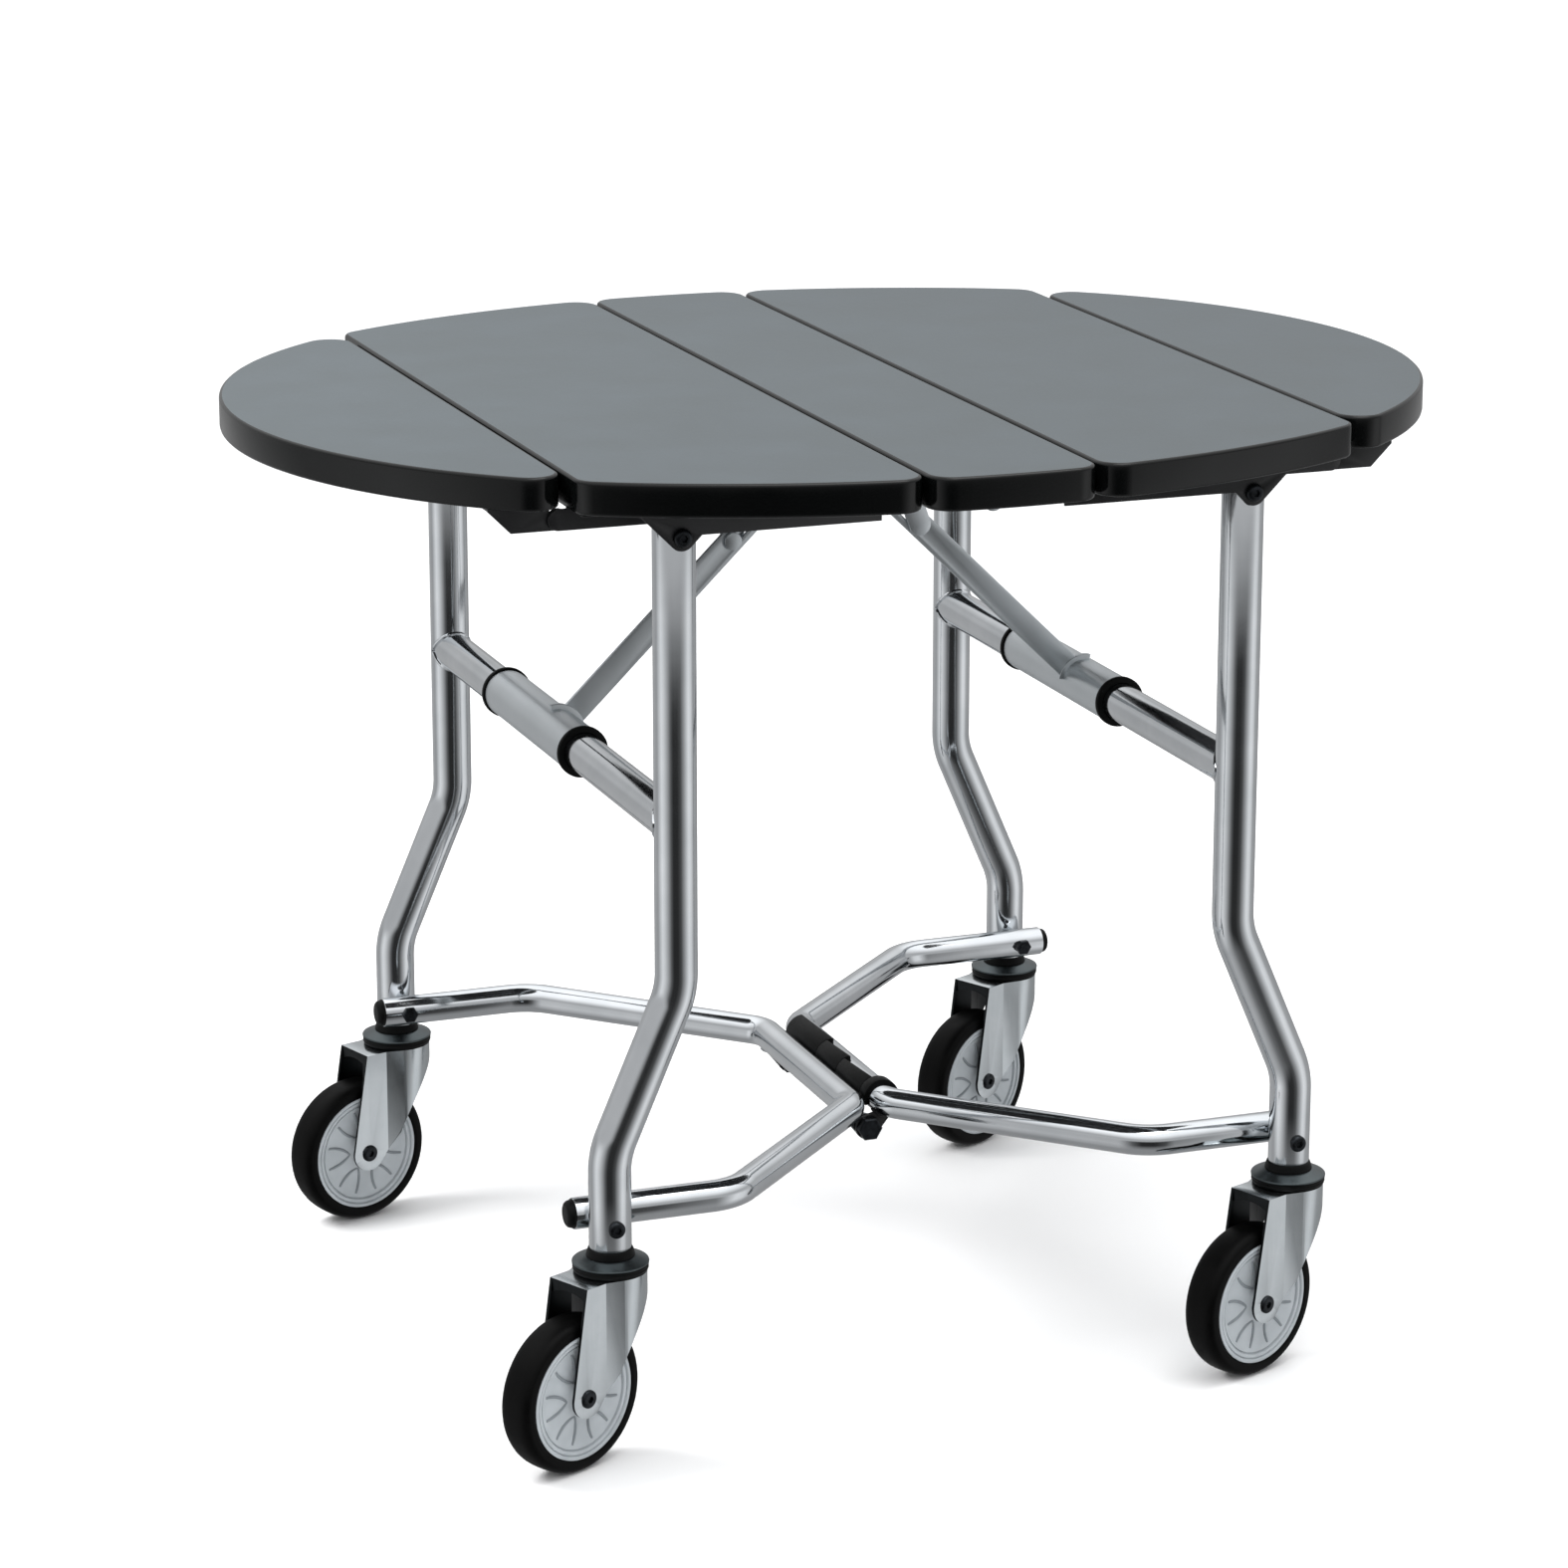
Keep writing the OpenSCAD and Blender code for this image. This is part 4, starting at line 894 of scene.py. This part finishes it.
def petalTree():
    # one pair of bowed ribs between the boss and the rim, repeated round the axle
    tree, given = startTree("hubPetals", petals)
    start, bowed, stop = (vectorNode(tree, given[along], across, 0.0) for along, across in (
        ("Inner Radius", 0.0), ("Middle Radius", given["Bow"]), ("Outer Radius", given["Spread"])))
    spine = addNode(tree, "GeometryNodeCurveQuadraticBezier", Resolution=14, Start=start, Middle=bowed,
                    End=stop)
    section = addNode(tree, "GeometryNodeCurvePrimitiveCircle", Resolution=8, Radius=given["Rib Radius"])
    rib = addNode(tree, "GeometryNodeCurveToMesh", Curve=spine.outputs["Curve"],
                  Profile_Curve=section.outputs["Curve"], Fill_Caps=True).outputs["Mesh"]
    twin = addNode(tree, "GeometryNodeTransform", Geometry=rib, Scale=(1, -1, 1)).outputs["Geometry"]
    pair = addNode(tree, "GeometryNodeJoinGeometry")
    for half in (rib, twin):
        tree.links.new(half, pair.inputs["Geometry"])
    places = addNode(tree, "GeometryNodeMeshLine", Count=given["Count"], Offset=(0.0, 0.0, 0.0))
    index = addNode(tree, "GeometryNodeInputIndex").outputs["Index"]
    turn = sumNode(tree, "MULTIPLY", index, sumNode(tree, "DIVIDE", 2 * pi, given["Count"]))
    ring = onPoints(tree, places.outputs["Mesh"], pair.outputs["Geometry"],
                    Rotation=vectorNode(tree, 0.0, 0.0, turn))
    return endTree(tree, onPoints(tree, given["Geometry"], ring), given["Finish"])


petalsTree = petalTree()


def makeTyre(name, body, place):
    bm = bmesh.new()
    half = [(48.4, 14.0), (49.2, 14.6), (50.6, 14.95), (52.2, 15.0), (53.4, 14.7), (54.0, 14.75),
            (55.6, 14.2), (57.0, 13.2), (58.2, 11.8), (59.1, 10.0), (59.65, 7.8), (59.9, 5.0), (60.0, 2.0)]
    profile = half + [(r, -h) for r, h in reversed(half)]
    turnedRing(bm, profile, place, 120)
    finish("tyreSolid_" + name, bm, body, ["tyre_black"], ["tyre_" + name])


def makeHub(name, body, place):
    bm = bmesh.new()
    half = [(5.1, 16.2), (5.4, 16.5), (11.2, 16.5), (11.8, 16.1), (12.4, 14.2), (13.6, 12.9), (16.0, 12.3),
            (22.0, 11.6), (30.0, 11.5), (36.0, 11.9), (39.6, 12.5), (40.4, 12.6), (40.8, 11.8), (41.2, 11.6),
            (41.6, 11.9), (42.0, 13.6), (42.5, 14.0), (44.4, 14.0), (44.8, 13.7), (45.0, 13.1), (45.4, 13.1),
            (45.7, 14.5), (46.2, 15.0), (47.8, 15.0), (48.4, 14.6), (48.5, 14.0)]
    profile = half + [(r, -h) for r, h in reversed(half)]
    turnedRing(bm, profile, place, 96)
    ribs = fromTree("petals", petalsTree, [mm(0, 0, petalFace), mm(0, 0, -petalFace)], petals, "rib_painted_shade")
    ribs.transform(place)
    disc = len(bm.faces)
    bm.from_mesh(ribs)
    bpy.data.meshes.remove(ribs)
    # the ribs take the darker copy of the hub's nylon: painted shade
    for k, face in enumerate(bm.faces):
        face.material_index = 0 if k < disc else 1
    finish("hubDisc_" + name, bm, body, ["hub_plastic", "rib_painted_shade"], ["hub_" + name])


def paintedShadeFace(face, place):
    # faces given painted shade: the lip over the tyre (a painted reflection of the dark tyre), the inner sides
    # of the cheeks and of the round front, and the crown's underside
    at = place.inverted() @ face.calc_center_median()
    facing = place.to_3x3().inverted() @ face.normal
    if at.x < forkForm["lipX"] / 1000 and abs(facing.x) > forkForm["facing"]:
        return True
    if facing.z < -forkForm["facing"]:
        return at.z > forkForm["underCrown"] / 1000
    inward = at.x * facing.x + at.y * facing.y < 0
    return inward and (abs(facing.y) > forkForm["facing"] or at.xy.length < forkForm["inner"] / 1000)


def makeFork(name, body, place):
    # the pressing's fold lines stay crisp, and its inside and lip are darkened with painted shade
    piece = softened("fork_" + name, body, ["zinc_plate", "zinc_painted_shade"], forkForm["bevel"],
                     "forkPressing_" + name, 3)
    bm = bmesh.new()
    bm.from_mesh(piece.data)
    for face in bm.faces:
        if paintedShadeFace(face, place):
            face.material_index = 1
    low, high = (radians(a) for a in forkForm["foldDeg"])
    for edge in bm.edges:
        along = edge.verts[1].co - edge.verts[0].co
        upright = abs(along.z) > forkForm["upright"] * along.length
        if upright and len(edge.link_faces) == 2 and low < edge.calc_face_angle(0) < high:
            edge.smooth = False
    bm.to_mesh(piece.data)
    bm.free()


axle = {"radius": 5, "from": -18, "to": 22, "cheek": 20, "button": 7.0, "height": 2.0, "socket": 2.5,
        "flat": 6.8, "nut": 4.0}


def makeAxle(name, body, place):
    # shouldered axle bolt with a hexagon socket on the left cheek and a nut on the right one
    bm = bmesh.new()
    pin(bm, place, axle["radius"], axle["from"], axle["to"])
    onCheek = shifted(0, 0, axle["cheek"])
    button(bm, place @ Matrix.Rotation(pi, 4, "X") @ onCheek, axle["button"], axle["height"], axle["socket"])
    hexHead(bm, place @ onCheek, axle["flat"], axle["nut"])
    finish("axleBolt_" + name, bm, body, ["bolt_black"], ["axle_" + name], slotName="zinc_plate")


for end, e in ends.items():
    for side, s in sides.items():
        name = "%s_%s" % (end, side)
        turned = Matrix.Rotation(radians(wheelTurn[end, side]), 4, "Z")
        local = shifted(s * legs["footX"], e * legs["y"], 0) @ turned
        # the axle's own Z runs from the left cheek to the right one
        axleAt = local @ axisMatrix(mm(-caster["trail"], 0, caster["axleZ"]), (0, 1, 0))
        makeFork(name, "swivel_" + name, local)
        makeAxle(name, "swivel_" + name, axleAt)
        makeTyre(name, "wheel_" + name, axleAt)
        makeHub(name, "wheel_" + name, axleAt)
print("casters: 4")


studio = {
    "paper": "#ffffff", "floorSize": 160, "wallRadius": 55, "wallHigh": 45,
    "camera": (-1378.0, -3655.2, 1491.3), "target": (-79.0, -120.3, 457.7), "focal": 116.4,
    # light level of the room by the sine of the height above the horizon
    "sky": ((0.0, 0.6), (0.3, 0.52), (0.5, 0.95), (0.7, 1.35), (1.0, 1.5)),
    # light level of the low bays that polished pieces mirror, by degrees to the right of the photo's view
    "bays": ((-180, 0.33), (-145, 0.48), (-106, 0.42), (-89, 0.7), (-74, 0.97), (-60, 0.83), (-42, 0.5),
             (-23, 0.13), (-10, 0.03), (12, 0.03), (30, 0.09), (47, 0.37), (74, 0.97), (90, 0.86),
             (106, 0.47), (140, 0.37), (180, 0.33)),
    "underneath": 0.34, "strength": 2.0,
    # place, aim, width, height, watts, and whether polished pieces mirror it
    "boxes": {"keyBox": ((-1.4, 0.4, 1.6), (-0.3, 0, 0.7), 0.9, 0.9, 30, False),
              "topBox": ((0.4, -0.8, 3.0), (0, 0, 0.6), 2.0, 1.6, 26, True)},
}


def stageSheet(name, bm, material):
    mesh = bpy.data.meshes.new(name)
    bm.to_mesh(mesh)
    bm.free()
    mesh.materials.append(material)
    sheet = addObject(name, mesh)
    return sheet


def makeFloor():
    # it rides with the casters, which stand on it while the table folds
    bm = bmesh.new()
    half = studio["floorSize"] / 2
    bm.faces.new([bm.verts.new((x * half, y * half, 0)) for x, y in ((-1, -1), (1, -1), (1, 1), (-1, 1))])
    floor = stageSheet("studioFloor", bm, newMaterial("studioPaper", studio["paper"], 0.0, 0.95)[0])
    # polished pieces mirror the low bays of the room in place of the floor
    floor.visible_glossy = False
    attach(floor, "legs_left")


def makeWall():
    # white backdrop all round, far off, which neither lights the table nor shows in it
    bm = bmesh.new()
    r, high = studio["wallRadius"] * 1000, studio["wallHigh"] * 1000
    addRings(bm, roundRings([(r, -high), (r, high)], Matrix.Identity(4), 96), capped=False)
    paper = newMaterial("backdropPaper", "#000000", 0.0, 1.0, Emission_Color=linear(studio["paper"]),
                        Emission_Strength=1.0)[0]
    wall = stageSheet("studioWall", bm, paper)
    for ray in ("diffuse", "glossy", "transmission", "volume_scatter", "shadow"):
        setattr(wall, "visible_" + ray, False)


def levelRamp(tree, fac, stops):
    ramp = addNode(tree, "ShaderNodeValToRGB", Fac=fac)
    ramp.color_ramp.elements.remove(ramp.color_ramp.elements[1])
    for k, (at, level) in enumerate(stops):
        stop = ramp.color_ramp.elements[0] if k == 0 else ramp.color_ramp.elements.new(at)
        stop.position = at
        stop.color = (level, level * 1.005, level * 1.015, 1)
    return ramp.outputs["Color"]


def blend(tree, fac, first, second):
    mix = addNode(tree, "ShaderNodeMix", {"data_type": "RGBA"})
    for socket, source in ((mix.inputs[0], fac), (mix.inputs[6], first), (mix.inputs[7], second)):
        tree.links.new(source, socket)
    return mix.outputs[2]


def makeWorld():
    # a white room, dimmer towards the horizon so that the top keeps its grey; below the horizon are light and
    # dark bays, which only polished pieces see: they make the stripes of the chrome
    world = bpy.data.worlds.new("studioRoom")
    bpy.context.scene.world = world
    world.use_nodes = True
    tree = world.node_tree
    toCamera = atan2(studio["camera"][1] - studio["target"][1], studio["camera"][0] - studio["target"][0])
    direction = addNode(tree, "ShaderNodeTexCoord").outputs["Generated"]
    turned = addNode(tree, "ShaderNodeVectorRotate", {"rotation_type": "Z_AXIS"}, Vector=direction,
                     Angle=-toCamera)
    parts = addNode(tree, "ShaderNodeSeparateXYZ", Vector=turned.outputs["Vector"]).outputs
    share = sumNode(tree, "MULTIPLY_ADD", sumNode(tree, "ARCTAN2", parts["Y"], parts["X"]), 1 / (2 * pi), 0.5)
    full = studio["strength"]
    bays = levelRamp(tree, share, [(a / 360 + 0.5, level / full) for a, level in studio["bays"]])
    sky = levelRamp(tree, parts["Z"], [(at, level / full) for at, level in studio["sky"]])
    under = levelRamp(tree, share, [(0.0, studio["underneath"] / full)])
    low = blend(tree, spread(tree, parts["Z"], 0.0, 1.0, -0.9, -0.45), under, bays)
    room = blend(tree, spread(tree, parts["Z"], 0.0, 1.0, 0.0, 0.14), low, sky)
    tree.links.new(room, tree.nodes["Background"].inputs["Color"])
    tree.nodes["Background"].inputs["Strength"].default_value = full


def addSoftbox(name, place, aim, width, height, watts, mirrored):
    light = bpy.data.lights.new(name, "AREA")
    light.shape = "RECTANGLE"
    light.size, light.size_y = width, height
    light.energy = watts
    holder = addObject(name, light)
    holder.location = place
    holder.visible_glossy = mirrored
    holder.rotation_euler = (Vector(aim) - Vector(place)).to_track_quat("-Z", "Y").to_euler()


def makeCamera():
    data = bpy.data.cameras.new("photoCamera")
    data.lens = studio["focal"]
    data.sensor_width = 36
    data.sensor_fit = "HORIZONTAL"
    camera = addObject("photoCamera", data)
    camera.location = mm(*studio["camera"])
    camera.rotation_euler = (mm(*studio["target"]) - camera.location).to_track_quat("-Z", "Y").to_euler()
    # like the floor it stays with the casters, so that a folded table stands whole in the picture
    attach(camera, "legs_left")
    bpy.context.scene.camera = camera


makeFloor()
makeWall()
makeWorld()
for name, box in studio["boxes"].items():
    addSoftbox(name, *box)
makeCamera()
bpy.context.scene.view_settings.view_transform = "Standard"
print("studio ready")
